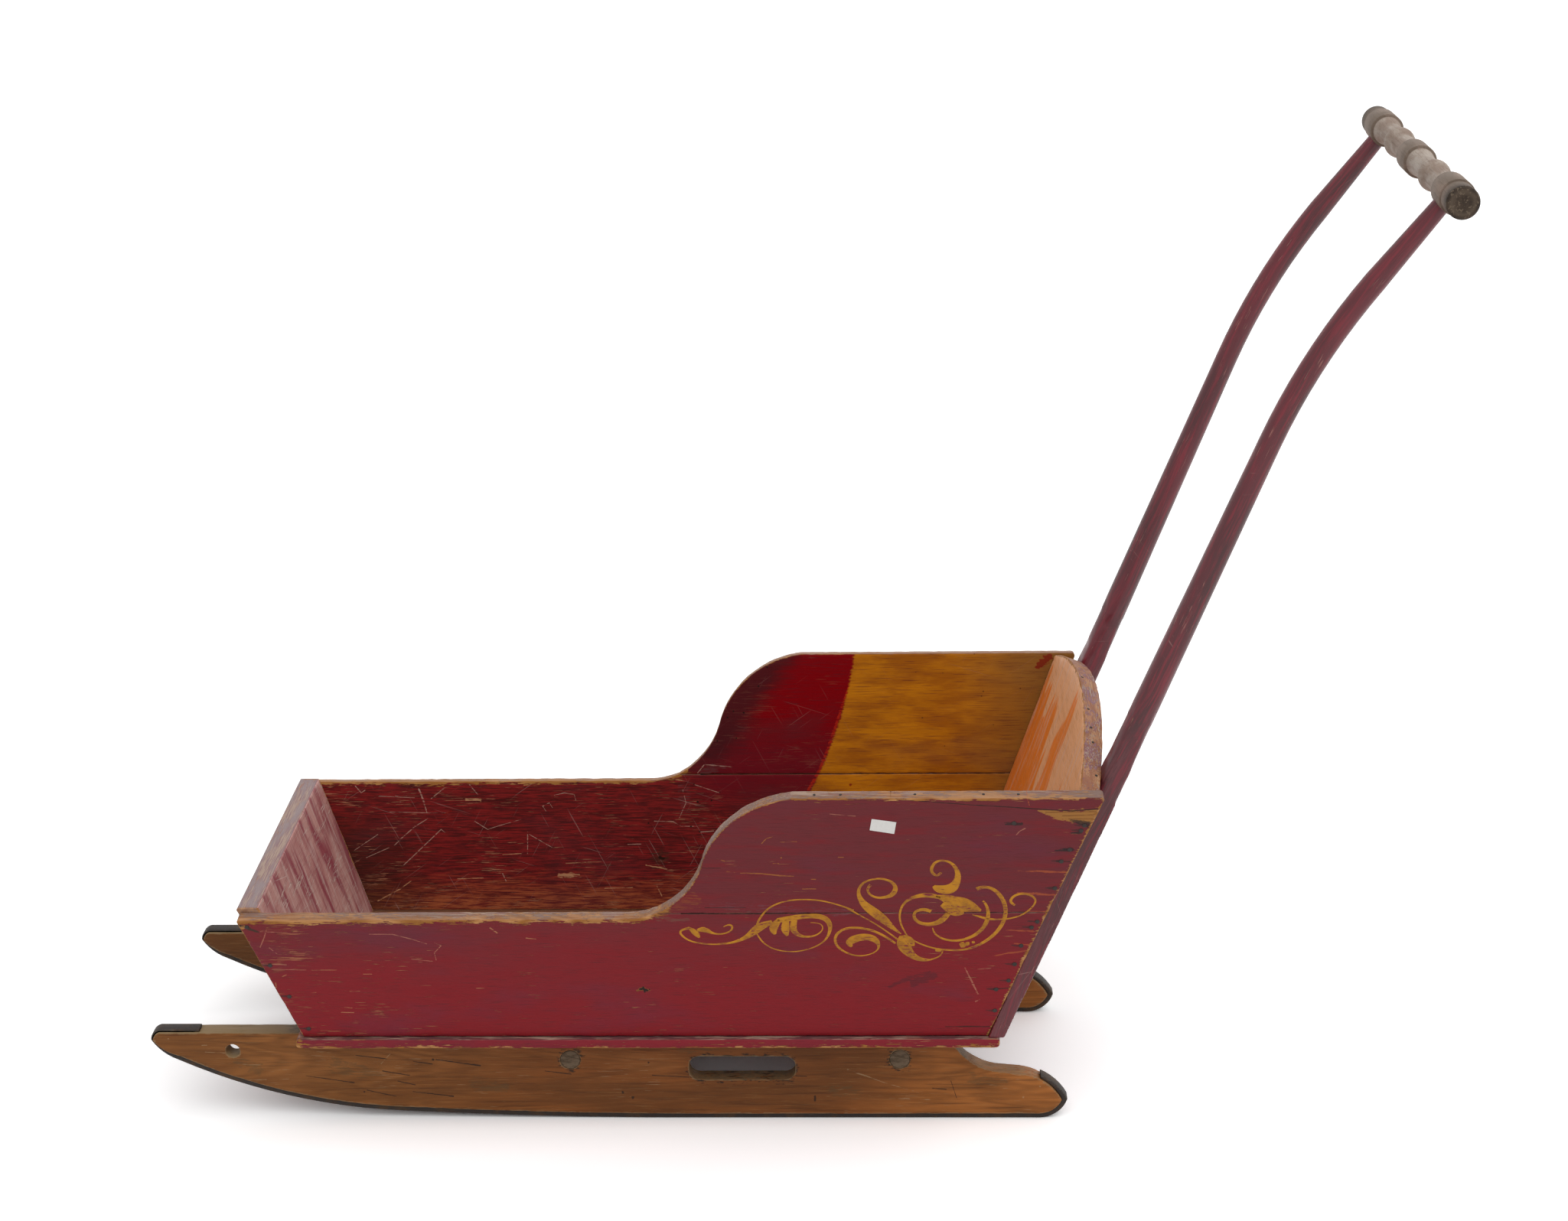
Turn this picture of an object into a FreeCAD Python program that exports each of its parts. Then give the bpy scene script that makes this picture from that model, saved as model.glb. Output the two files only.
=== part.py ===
import FreeCAD, Part
import math
import os
import re
import Sketcher

# A child's push sleigh: a splayed wooden box on two iron-shod runners, with a bent push handle.
# The sleigh travels towards -X, +Z is up, and the left side as its rider sits is at -Y.
# The origin lies on the ground under the middle of the sleigh.

# Driving sizes in millimetres, angles in degrees
SIZES = {
    # runners and their iron shoes
    "runner_top_z": 98.2,
    "runner_gauge": 19.0,
    "runner_outer_y": 122.5,
    "toe_tip_x": -626.0,
    "toe_nose_radius": 9.0,
    "toe_tip_radius": 52.0,
    "toe_curve_x": -600.0,
    "toe_curve_z": 66.5,
    "toe_curve_radius": 560.0,
    "toe_curve_angle": 26.5,
    "rocker_x": -380.0,
    "rocker_z": 8.5,
    "rocker_radius": 6000.0,
    "flat_front_x": -60.0,
    "heel_flat_x": 266.0,
    "heel_radius": 29.7,
    "heel_back_x": 294.2,
    "heel_back_z": 21.5,
    "tail_curl_radius": 61.0,
    "tail_lip_x": 246.0,
    "tail_lip_z": 51.2,
    "tail_scoop_x": 228.0,
    "tail_scoop_z": 53.0,
    "tail_scoop_radius": 60.0,
    "tail_top_x": 174.3,
    "shoe_gauge": 6.2,
    "shoe_width": 14.0,
    "shoe_strap_length": 50.0,
    "shoe_strap_gauge": 2.5,
    "shoe_heel_end_x": 266.5,
    "shoe_core_drop": 15.0,
    "shoe_core_lift": 20.0,
    "slot_x": -31.7,
    "slot_z": 58.2,
    "slot_length": 106.4,
    "slot_height": 26.0,
    "slot_corner_radius": 10.5,
    "rope_hole_x": -543.5,
    "rope_hole_z": 78.2,
    "rope_hole_radius": 7.2,
    # round rungs that tie the runners
    "rung_front_x": -204.0,
    "rung_rear_x": 126.0,
    "rung_z": 67.7,
    "rung_radius": 13.0,
    "tenon_radius": 10.0,
    "tenon_play": 0.15,
    # base board
    "floor_gauge": 10.5,
    "floor_front_x": -471.5,
    "floor_rear_x": 224.0,
    "floor_half_width": 155.5,
    "floor_edge_round": 4.0,
    # box sides, measured in the leaning plane of each board
    "side_gauge": 14.0,
    "side_lean": 9.76,
    "side_foot_y": 150.5,
    "side_front_x": -464.5,
    "front_rim_rise": 141.5,
    "front_rim_reach": 51.5,
    "front_corner_radius": 3.0,
    "seam_rise": 148.0,
    "knee_front_x": -136.0,
    "knee_x": -108.0,
    "knee_radius": 80.0,
    "sweep_middle_x": -62.0,
    "sweep_middle_rise": 208.0,
    "sweep_low_radius": 91.0,
    "sweep_high_radius": 104.0,
    "sweep_top_x": 25.0,
    "upper_rim_rise": 279.0,
    "side_foot_x": 212.6,
    "side_kick_x": 256.9,
    "side_kick_rise": 120.0,
    "rear_top_x": 318.0,
    "rear_corner_radius": 4.0,
    # end panels between the sides
    "front_panel_depth": 22.0,
    "front_panel_edge_round": 2.5,
    "front_panel_proud": 6.5,
    "back_panel_depth": 20.6,
    "arch_rise": 35.8,
    # push handle
    "bar_width": 28.0,
    "bar_foot_depth": 15.8,
    "bar_top_depth": 25.0,
    "bar_top_rise": 285.0,
    "bar_neck_rise": 345.0,
    "bar_neck_width": 18.0,
    "bar_foot_y": 140.0,
    "rod_base_radius": 13.4,
    "rod_bend_radius": 10.7,
    "rod_tip_radius": 8.2,
    "rod_sink": 24.0,
    "rod_bend_angle": 16.0,
    "rod_bend_share": 0.6985,
    "bend_radius": 620.0,
    # turned grip
    "grip_x": 609.0,
    "grip_z": 942.2,
    "grip_half_length": 213.0,
    "grip_overhang": 50.0,
    "grip_collar_radius": 14.8,
    "grip_collar_length": 23.5,
    "grip_end_bevel": 1.6,
    "grip_groove_radius": 14.0,
    "grip_groove_width": 1.5,
    "grip_band_radius": 16.2,
    "grip_band_length": 36.0,
    "grip_step": 2.2,
    "grip_neck_radius": 11.3,
    "grip_flare_length": 20.0,
    "grip_bead_radius": 14.7,
    "grip_bead_share": 0.4,
    "grip_bead_half_width": 12.0,
    "grip_centre_radius": 15.5,
    "grip_centre_half_width": 18.0,
    "socket_play": 0.2,
    "socket_depth": 9.0,
    "through_cut": 2000.0,
}

doc = FreeCAD.newDocument("PushSleigh")
sheet = doc.addObject("Spreadsheet::Sheet", "Sizes")
for row, (alias, number) in enumerate(SIZES.items(), start=1):
    sheet.set(f"A{row}", alias)
    sheet.set(f"B{row}", str(number))
    sheet.setAlias(f"B{row}", alias)
doc.recompute()


# Formulas that several pieces share
FLOOR_TOP = "(runner_top_z + floor_gauge)"
LEAN = "(side_lean * 1deg)"
BACK_RAKE = "((side_kick_x - side_foot_x) / (side_kick_rise * cos(side_lean * 1deg)))"
FRONT_RAKE = "(front_rim_reach / (front_rim_rise * cos(side_lean * 1deg)))"
SEAM_REAR_X = ("(side_kick_x + (rear_top_x - side_kick_x)"
               " * (seam_rise - side_kick_rise) / (upper_rim_rise - side_kick_rise))")
SIDE_INNER_Y = "(side_foot_y - side_gauge / cos(side_lean * 1deg))"


def full(expression):
    """Expression with every size written as a cell of the sheet."""
    return re.sub(r"[a-z]\w*", lambda word: f"Sizes.{word[0]}" if word[0] in SIZES else word[0], expression)


def number_of(expression):
    """Number that an expression on the sheet comes to."""
    result = sheet.evalExpression(full(expression))
    return float(getattr(result, "Value", result))


def bind(target, path, expression):
    """Tie one property of an object to the sheet."""
    target.setExpression(path, full(expression))


def new_body(name):
    """Empty body that becomes one piece of the sleigh."""
    body = doc.addObject("PartDesign::Body", name)
    body.Label = name
    return body


def new_sketch(body, name, plane, offset=None, turn=None):
    """Sketch on an origin plane of a body, moved by offset and turned about one of its own axes."""
    sketch = body.newObject("Sketcher::SketchObject", name)
    support = next(item for item in body.Origin.OriginFeatures if item.Role == plane)
    sketch.AttachmentSupport = [(support, "")]
    sketch.MapMode = "FlatFace"
    if turn:
        axis, angle = turn
        sketch.AttachmentOffset = FreeCAD.Placement(FreeCAD.Vector(), FreeCAD.Rotation(axis, number_of(angle)))
        bind(sketch, "AttachmentOffset.Rotation.Angle", angle)
    for letter, expression in zip("xyz", offset or ()):
        bind(sketch, f"AttachmentOffset.Base.{letter}", expression)
    return sketch


def draw(sketch, start, *steps):
    """Closed outline of lines and arcs whose corners and radii are tied to the sheet.

    A step is (x, y) for a line, or (x, y, radius) for an arc that turns to the left,
    or (x, y, radius, "right") for one that turns to the right.
    """
    closing = [] if steps[-1][:2] == start else [start]
    corners = [start]
    ends = []
    for step in list(steps) + closing:
        first = FreeCAD.Vector(number_of(corners[-1][0]), number_of(corners[-1][1]), 0)
        last = FreeCAD.Vector(number_of(step[0]), number_of(step[1]), 0)
        if len(step) == 2:
            index = sketch.addGeometry(Part.LineSegment(first, last), False)
            ends.append((index, 1, 2, None))
        else:
            leftward = len(step) == 3
            radius = number_of(step[2])
            half = (last - first) * 0.5
            reach = math.sqrt(max(radius ** 2 - half.Length ** 2, 0.0))
            side = FreeCAD.Vector(-half.y, half.x, 0).normalize() * (reach if leftward else -reach)
            centre = first + half + side
            low, high = (first, last) if leftward else (last, first)
            angles = [math.atan2(point.y - centre.y, point.x - centre.x) for point in (low, high)]
            if angles[1] < angles[0]:
                angles[1] += math.tau
            circle = Part.Circle(centre, FreeCAD.Vector(0, 0, 1), radius)
            index = sketch.addGeometry(Part.ArcOfCircle(circle, *angles), False)
            ends.append((index, 1, 2, step[2]) if leftward else (index, 2, 1, step[2]))
        corners.append(step[:2])
    for place, (index, head, tail, radius) in enumerate(ends):
        after = ends[(place + 1) % len(ends)]
        sketch.addConstraint(Sketcher.Constraint("Coincident", index, tail, after[0], after[1]))
        pin(sketch, index, head, corners[place])
        if radius:
            row = sketch.addConstraint(Sketcher.Constraint("Radius", index, number_of(radius)))
            bind(sketch, f"Constraints[{row}]", radius)
    return sketch


def pin(sketch, index, point, corner):
    """Tie one point of a sketch to its two coordinates."""
    for kind, expression in zip(("DistanceX", "DistanceY"), corner):
        row = sketch.addConstraint(Sketcher.Constraint(kind, index, point, number_of(expression)))
        bind(sketch, f"Constraints[{row}]", expression)


def draw_circle(sketch, x, y, radius):
    """Circle whose centre and radius are tied to the sheet."""
    centre = FreeCAD.Vector(number_of(x), number_of(y), 0)
    index = sketch.addGeometry(Part.Circle(centre, FreeCAD.Vector(0, 0, 1), number_of(radius)), False)
    pin(sketch, index, 3, (x, y))
    row = sketch.addConstraint(Sketcher.Constraint("Radius", index, number_of(radius)))
    bind(sketch, f"Constraints[{row}]", radius)
    return sketch


def pad(body, sketch, length, both_ways=False, backwards=False):
    """Board or bar raised from a sketch."""
    feature = body.newObject("PartDesign::Pad", f"{sketch.Name}Pad")
    feature.Profile = sketch
    feature.Midplane = both_ways
    feature.Reversed = backwards
    bind(feature, "Length", length)
    doc.recompute()
    return feature


def pocket(body, sketch):
    """Cut through the whole piece on both sides of a sketch; the cut has to take something away."""
    before = body.Shape.Volume
    feature = body.newObject("PartDesign::Pocket", f"{sketch.Name}Cut")
    feature.Profile = sketch
    feature.Midplane = True
    bind(feature, "Length", "through_cut")
    doc.recompute()
    if feature.Shape.Volume >= before:
        raise RuntimeError(f"{feature.Name} cuts nothing")
    return feature


def loft(body, low, high):
    """Straight-sided solid between two sketches; it has to add to what the body holds already."""
    before = body.Shape.Volume if body.Tip else 0
    feature = body.newObject("PartDesign::AdditiveLoft", f"{low.Name}Loft")
    feature.Profile = low
    feature.Sections = [high]
    feature.Ruled = True
    doc.recompute()
    if feature.Shape.Volume <= before:
        raise RuntimeError(f"{feature.Name} adds nothing")
    return feature


def revolve(body, name, profile, axis, angle="360deg"):
    """Turned or bent stretch from a profile about one of its own axes."""
    feature = body.newObject("PartDesign::Revolution", name)
    feature.Profile = profile
    feature.ReferenceAxis = (profile, [axis])
    bind(feature, "Angle", angle)
    doc.recompute()
    return feature


def round_stretch(body, name, lean, foot, head, radii):
    """Straight tapered round stretch between two circles square to its line."""
    ends = []
    for label, (x, z), radius in zip(("low", "high"), (foot, head), radii):
        sketch = new_sketch(body, f"{name}_{label}", "XY_Plane", offset=(x, "0", z),
                            turn=(FreeCAD.Vector(0, 1, 0), lean))
        ends.append(draw_circle(sketch, "0", "0", radius))
    return loft(body, *ends)


def round_edges(body, name, radius, wanted):
    """Fillet on the edges of the body's last feature that a test picks."""
    base = body.Tip
    edges = [f"Edge{i}" for i, edge in enumerate(base.Shape.Edges, start=1) if wanted(edge)]
    feature = body.newObject("PartDesign::Fillet", name)
    feature.Base = (base, edges)
    bind(feature, "Radius", radius)
    doc.recompute()
    return feature


def place(body, x, y, z, tilt="0"):
    """Set a body down at a point, tilted about the X axis."""
    body.Placement = FreeCAD.Placement(FreeCAD.Vector(), FreeCAD.Rotation(FreeCAD.Vector(1, 0, 0), 1))
    bind(body, "Placement.Rotation.Angle", tilt)
    for letter, expression in zip("xyz", (x, y, z)):
        bind(body, f"Placement.Base.{letter}", expression)


# The two sides of the sleigh: name and sign of Y
SIDES = (("left", -1), ("right", 1))


def draw_wood(sketch):
    """Side view of a runner's wood: flat top, swept toe, scooped tail."""
    return draw(
        sketch,
        ("heel_flat_x", "shoe_gauge"),
        ("heel_back_x - shoe_gauge", "heel_back_z", "heel_radius - shoe_gauge"),
        ("tail_lip_x", "tail_lip_z", "tail_curl_radius - shoe_gauge"),
        ("tail_scoop_x", "tail_scoop_z"),
        ("tail_top_x", "runner_top_z", "tail_scoop_radius", "right"),
        ("toe_tip_x + toe_nose_radius", "runner_top_z"),
        ("toe_tip_x + shoe_strap_gauge", "runner_top_z - toe_nose_radius", "toe_nose_radius"),
        (
            "toe_curve_x + shoe_gauge * sin(toe_curve_angle * 1deg)",
            "toe_curve_z + shoe_gauge * cos(toe_curve_angle * 1deg)",
            "toe_tip_radius - shoe_gauge",
        ),
        ("rocker_x", "rocker_z + shoe_gauge", "toe_curve_radius - shoe_gauge"),
        ("flat_front_x", "shoe_gauge", "rocker_radius - shoe_gauge"),
    )


def make_runner(name, sign):
    """Plank runner with hand slot, rope hole and the holes of the two rungs."""
    body = new_body(name)
    pad(body, draw_wood(new_sketch(body, f"{name}_outline", "XZ_Plane")), "runner_gauge", both_ways=True)
    holes = new_sketch(body, f"{name}_holes", "XZ_Plane")
    draw_circle(holes, "rope_hole_x", "rope_hole_z", "rope_hole_radius")
    for rung_x in ("rung_front_x", "rung_rear_x"):
        draw_circle(holes, rung_x, "rung_z", "tenon_radius + tenon_play")
    pocket(body, holes)
    slot = new_sketch(body, f"{name}_slot", "XZ_Plane")
    left, right = ("slot_x - slot_length / 2", "slot_x + slot_length / 2")
    low, high = ("slot_z - slot_height / 2", "slot_z + slot_height / 2")
    draw(
        slot,
        (f"{left} + slot_corner_radius", low),
        (f"{right} - slot_corner_radius", low),
        (right, f"{low} + slot_corner_radius", "slot_corner_radius"),
        (right, f"{high} - slot_corner_radius"),
        (f"{right} - slot_corner_radius", high, "slot_corner_radius"),
        (f"{left} + slot_corner_radius", high),
        (left, f"{high} - slot_corner_radius", "slot_corner_radius"),
        (left, f"{low} + slot_corner_radius"),
        (f"{left} + slot_corner_radius", low, "slot_corner_radius"),
    )
    pocket(body, slot)
    place(body, "0", f"{sign} * (runner_outer_y - runner_gauge / 2)", "0")
    return body


def make_shoe(name, sign):
    """Iron strip nailed under a runner, over its toe and round its heel."""
    body = new_body(name)
    outline = new_sketch(body, f"{name}_outline", "XZ_Plane")
    draw(
        outline,
        ("heel_flat_x", "0"),
        ("heel_back_x", "heel_back_z", "heel_radius"),
        ("tail_lip_x + shoe_strap_gauge", "tail_lip_z + shoe_strap_gauge", "tail_curl_radius"),
        ("tail_lip_x", "tail_lip_z"),
        ("heel_flat_x - shoe_core_lift", "heel_back_z"),
        ("rocker_x", "rocker_z + shoe_core_lift"),
        ("toe_tip_x + shoe_strap_length", "runner_top_z - shoe_core_drop"),
        ("toe_tip_x + shoe_strap_length", "runner_top_z + shoe_strap_gauge"),
        ("toe_tip_x + toe_nose_radius", "runner_top_z + shoe_strap_gauge"),
        ("toe_tip_x", "runner_top_z - toe_nose_radius", "toe_nose_radius + shoe_strap_gauge"),
        ("toe_curve_x", "toe_curve_z", "toe_tip_radius"),
        ("rocker_x", "rocker_z", "toe_curve_radius"),
        ("flat_front_x", "0", "rocker_radius"),
    )
    pad(body, outline, "shoe_width", both_ways=True)
    pocket(body, draw_wood(new_sketch(body, f"{name}_seat", "XZ_Plane")))
    heel_end = new_sketch(body, f"{name}_heel_end", "XZ_Plane")
    draw(
        heel_end,
        ("tail_scoop_x", "heel_back_z"),
        ("shoe_heel_end_x", "heel_back_z"),
        ("shoe_heel_end_x", "runner_top_z"),
        ("tail_scoop_x", "runner_top_z"),
    )
    pocket(body, heel_end)
    place(body, "0", f"{sign} * (runner_outer_y - runner_gauge / 2)", "0")
    return body


def make_rung(name, x):
    """Turned rung whose tenons go right through both runners."""
    body = new_body(name)
    profile = new_sketch(body, f"{name}_profile", "YZ_Plane")
    shoulder = "(runner_outer_y - runner_gauge)"
    draw(
        profile,
        ("-runner_outer_y", "0"),
        ("runner_outer_y", "0"),
        ("runner_outer_y", "tenon_radius"),
        (shoulder, "tenon_radius"),
        (shoulder, "rung_radius"),
        (f"-{shoulder}", "rung_radius"),
        (f"-{shoulder}", "tenon_radius"),
        ("-runner_outer_y", "tenon_radius"),
    )
    revolve(body, f"{name}_turned", profile, "H_Axis")
    place(body, x, "0", "rung_z")
    return body


def make_floor(name):
    """Base board with its long ends rounded over."""
    body = new_body(name)
    outline = new_sketch(body, f"{name}_section", "XZ_Plane")
    draw(
        outline,
        ("floor_front_x", "0"),
        ("floor_rear_x", "0"),
        ("floor_rear_x", "floor_gauge"),
        ("floor_front_x", "floor_gauge"),
    )
    pad(body, outline, "2 * floor_half_width", both_ways=True)
    round_edges(body, f"{name}_rounded_ends", "floor_edge_round",
                lambda edge: abs(edge.tangentAt(edge.FirstParameter).y) > 0.99)
    place(body, "0", "0", "runner_top_z")
    return body


def draw_lower_plank(sketch):
    """Lower plank of a side: raked front edge, low rim, knee and seam."""
    return draw(
        sketch,
        ("side_front_x", "-side_gauge"),
        ("side_foot_x", "-side_gauge"),
        ("side_foot_x", "0"),
        ("side_kick_x", "side_kick_rise"),
        (SEAM_REAR_X, "seam_rise"),
        ("knee_x", "seam_rise"),
        ("knee_front_x", "front_rim_rise", "knee_radius", "right"),
        ("side_front_x - front_rim_reach + front_corner_radius", "front_rim_rise"),
        (
            "side_front_x - front_rim_reach * (1 - front_corner_radius / front_rim_rise)",
            "front_rim_rise - front_corner_radius",
            "front_corner_radius",
        ),
        ("side_front_x", "0"),
    )


def draw_upper_plank(sketch):
    """Upper plank of a side: a swept curve up to the high rim."""
    return draw(
        sketch,
        ("knee_x", "seam_rise"),
        (SEAM_REAR_X, "seam_rise"),
        (
            "rear_top_x - rear_corner_radius * (rear_top_x - side_kick_x) / (upper_rim_rise - side_kick_rise)",
            "upper_rim_rise - rear_corner_radius",
        ),
        ("rear_top_x - rear_corner_radius", "upper_rim_rise", "rear_corner_radius"),
        ("sweep_top_x", "upper_rim_rise"),
        ("sweep_middle_x", "sweep_middle_rise", "sweep_high_radius"),
        ("knee_x", "seam_rise", "sweep_low_radius", "right"),
    )


def make_plank(name, sign, draw_outline, is_lower):
    """One plank of a leaning side; the lower one is bevelled to sit flat on the base board."""
    body = new_body(name)
    outline = draw_outline(new_sketch(body, f"{name}_outline", "XZ_Plane"))
    pad(body, outline, "side_gauge", backwards=sign < 0)
    if is_lower:
        bevel = new_sketch(body, f"{name}_foot", "YZ_Plane")
        draw(
            bevel,
            (f"{sign} * side_gauge", "-2 * side_gauge"),
            (f"{sign} * side_gauge", f"{sign * sign} * side_gauge * tan{LEAN}"),
            (f"{-sign} * side_gauge", f"-side_gauge * tan{LEAN}"),
            (f"{-sign} * side_gauge", "-2 * side_gauge"),
        )
        pocket(body, bevel)
    place(body, "0", f"{sign} * side_foot_y", FLOOR_TOP, f"{-sign} * side_lean * 1deg")
    return body


def raked_board(body, name, foot_x, depth, rake, height):
    """Board raked along X whose ends are cut to meet the inner faces of the leaning sides."""
    section = new_sketch(body, f"{name}_section", "XZ_Plane")
    head_x = f"({foot_x} + {rake} * {height})"
    draw(
        section,
        (foot_x, "0"),
        (f"{foot_x} + {depth}", "0"),
        (f"{head_x} + {depth}", height),
        (head_x, height),
    )
    foot_reach = SIDE_INNER_Y
    head_reach = f"({SIDE_INNER_Y} + {height} * tan{LEAN})"
    outer = f"({head_reach} + side_gauge)"
    pad(body, section, f"2 * {outer}", both_ways=True)
    ends = new_sketch(body, f"{name}_ends", "YZ_Plane")
    for sign in ("-", ""):
        corners = (
            (f"{sign}{foot_reach}", "0"),
            (f"{sign}({outer} + side_gauge)", "0"),
            (f"{sign}({outer} + side_gauge)", height),
            (f"{sign}{head_reach}", height),
        )
        draw(ends, *corners)
    pocket(body, ends)


def make_front_panel(name):
    """Raked board that closes the front, between the sides."""
    body = new_body(name)
    height = f"(front_rim_rise * cos{LEAN} + front_panel_proud)"
    raked_board(body, name, "side_front_x", "front_panel_depth", f"(-{FRONT_RAKE})", height)
    top = number_of(height)
    round_edges(body, f"{name}_worn_top", "front_panel_edge_round",
                lambda edge: all(abs(vertex.Z - top) < 0.01 for vertex in edge.Vertexes) and edge.Length > top)
    place(body, "0", "0", FLOOR_TOP)
    return body


def make_back_panel(name):
    """Raked board that closes the rear, with an arched top cut square to its face."""
    body = new_body(name)
    foot = "(side_foot_x - back_panel_depth)"
    spring_rise = f"(upper_rim_rise * cos{LEAN})"
    raked_board(body, name, foot, "back_panel_depth", BACK_RAKE, f"({spring_rise} + arch_rise + back_panel_depth)")
    rake_angle = f"atan({BACK_RAKE})"
    arch = new_sketch(
        body,
        f"{name}_arch",
        "YZ_Plane",
        offset=("0", "0", foot),
        turn=(FreeCAD.Vector(1, 0, 0), rake_angle),
    )
    rise = f"(arch_rise / cos({rake_angle}))"
    spring = f"({spring_rise} / cos({rake_angle}))"
    reach = f"({SIDE_INNER_Y} + {spring_rise} * tan{LEAN})"
    radius = f"({reach} * {reach} + {rise} * {rise}) / (2 * {rise})"
    outer = f"({reach} + 4 * side_gauge)"
    ceiling = f"({spring} + {rise} + 4 * back_panel_depth)"
    draw(
        arch,
        (f"-{outer}", ceiling),
        (f"-{outer}", spring),
        (f"-{reach}", spring),
        (reach, spring, radius, "right"),
        (outer, spring),
        (outer, ceiling),
    )
    pocket(body, arch)
    place(body, "0", "0", FLOOR_TOP)
    return body


GRIP_RISE = f"(grip_z - {FLOOR_TOP})"
BAR_SPLAY = f"((grip_half_length - grip_overhang - bar_foot_y) / {GRIP_RISE})"
BAR_TOP_X = f"(side_foot_x + {BACK_RAKE} * bar_top_rise + bar_top_depth / 2)"


def make_handle(name, sign):
    """Bar that stands on the base board against the back panel and becomes a bent round rod."""
    body = new_body(name)
    neck_x = f"({BAR_TOP_X} + (bar_neck_rise - bar_top_rise) * tan{LOW_LEAN})"
    levels = (
        ("foot", "0", "(side_foot_x + bar_foot_depth / 2)", "bar_foot_depth", "bar_width"),
        ("top", "bar_top_rise", BAR_TOP_X, "bar_top_depth", "bar_width"),
        ("neck", "bar_neck_rise", neck_x, "bar_neck_width", "bar_neck_width"),
    )
    bar = []
    for label, rise, x, depth, width in levels:
        sketch = new_sketch(body, f"{name}_{label}", "XY_Plane", offset=("0", "0", rise))
        front, back, half = (f"{x} - {depth} / 2", f"{x} + {depth} / 2", f"{width} / 2")
        bar.append(draw(sketch, (front, f"-({half})"), (back, f"-({half})"), (back, half), (front, half)))
    loft(body, bar[0], bar[1])
    loft(body, bar[1], bar[2])
    round_stretch(body, f"{name}_rod", LOW_LEAN, ROD_START, bend_point(LOW_LEAN),
                  ("rod_base_radius", "rod_bend_radius"))
    bend = new_sketch(body, f"{name}_bend", "XY_Plane", offset=(BEND_CENTRE[0], "0", BEND_CENTRE[1]),
                      turn=(FreeCAD.Vector(0, 1, 0), LOW_LEAN))
    draw_circle(bend, "-bend_radius", "0", "rod_bend_radius")
    revolve(body, f"{name}_bent", bend, "V_Axis", BEND_ANGLE)
    round_stretch(body, f"{name}_rod_end", HIGH_LEAN, bend_point(HIGH_LEAN), ROD_END,
                  ("rod_bend_radius", "rod_tip_radius"))
    place(body, "0", f"{sign} * bar_foot_y", FLOOR_TOP, f"{-sign} * atan({BAR_SPLAY})")
    return body


def bend_point(lean):
    """Point of the rod's bend where it leans by an angle."""
    return (
        f"({BEND_CENTRE[0]} - bend_radius * cos({lean}))",
        f"({BEND_CENTRE[1]} + bend_radius * sin({lean}))",
    )


# The rod's two straight stretches cross between the bar's top and the middle of the grip,
# in the leaning plane of a handle, at a share of the way along them
CHORD = (f"(grip_x - {BAR_TOP_X})", f"({GRIP_RISE} - bar_top_rise)")
CHORD_LEAN = f"atan({CHORD[0]} / {CHORD[1]})"
BEND_ANGLE = "(rod_bend_angle * 1deg)"
UPPER_SHARE = "(1 - rod_bend_share)"
LOW_LEAN = (f"({CHORD_LEAN} - atan({UPPER_SHARE} * sin{BEND_ANGLE}"
            f" / (rod_bend_share + {UPPER_SHARE} * cos{BEND_ANGLE})))")
HIGH_LEAN = f"({LOW_LEAN} + {BEND_ANGLE})"
LOW_RUN = (f"(sqrt({CHORD[0]} * {CHORD[0]} + {CHORD[1]} * {CHORD[1]})"
           f" * sin({HIGH_LEAN} - {CHORD_LEAN}) / sin{BEND_ANGLE})")
BEND_TANGENT = f"(bend_radius * tan({BEND_ANGLE} / 2))"
BEND_CENTRE = (
    f"({BAR_TOP_X} + ({LOW_RUN} - {BEND_TANGENT}) * sin{LOW_LEAN} + bend_radius * cos{LOW_LEAN})",
    f"(bar_top_rise + ({LOW_RUN} - {BEND_TANGENT}) * cos{LOW_LEAN} - bend_radius * sin{LOW_LEAN})",
)
# The rod starts inside the bar and ends in its socket
ROD_START = (f"({BAR_TOP_X} - rod_sink * tan{LOW_LEAN})", "(bar_top_rise - rod_sink)")
ROD_END = (
    f"(grip_x - (grip_collar_radius - socket_depth) * sin{HIGH_LEAN})",
    f"({GRIP_RISE} - (grip_collar_radius - socket_depth) * cos{HIGH_LEAN})",
)


BEAD_RISE = "(grip_bead_radius - grip_neck_radius)"
BEAD_ARC = f"(grip_bead_half_width * grip_bead_half_width + {BEAD_RISE} * {BEAD_RISE}) / (2 * {BEAD_RISE})"


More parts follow.
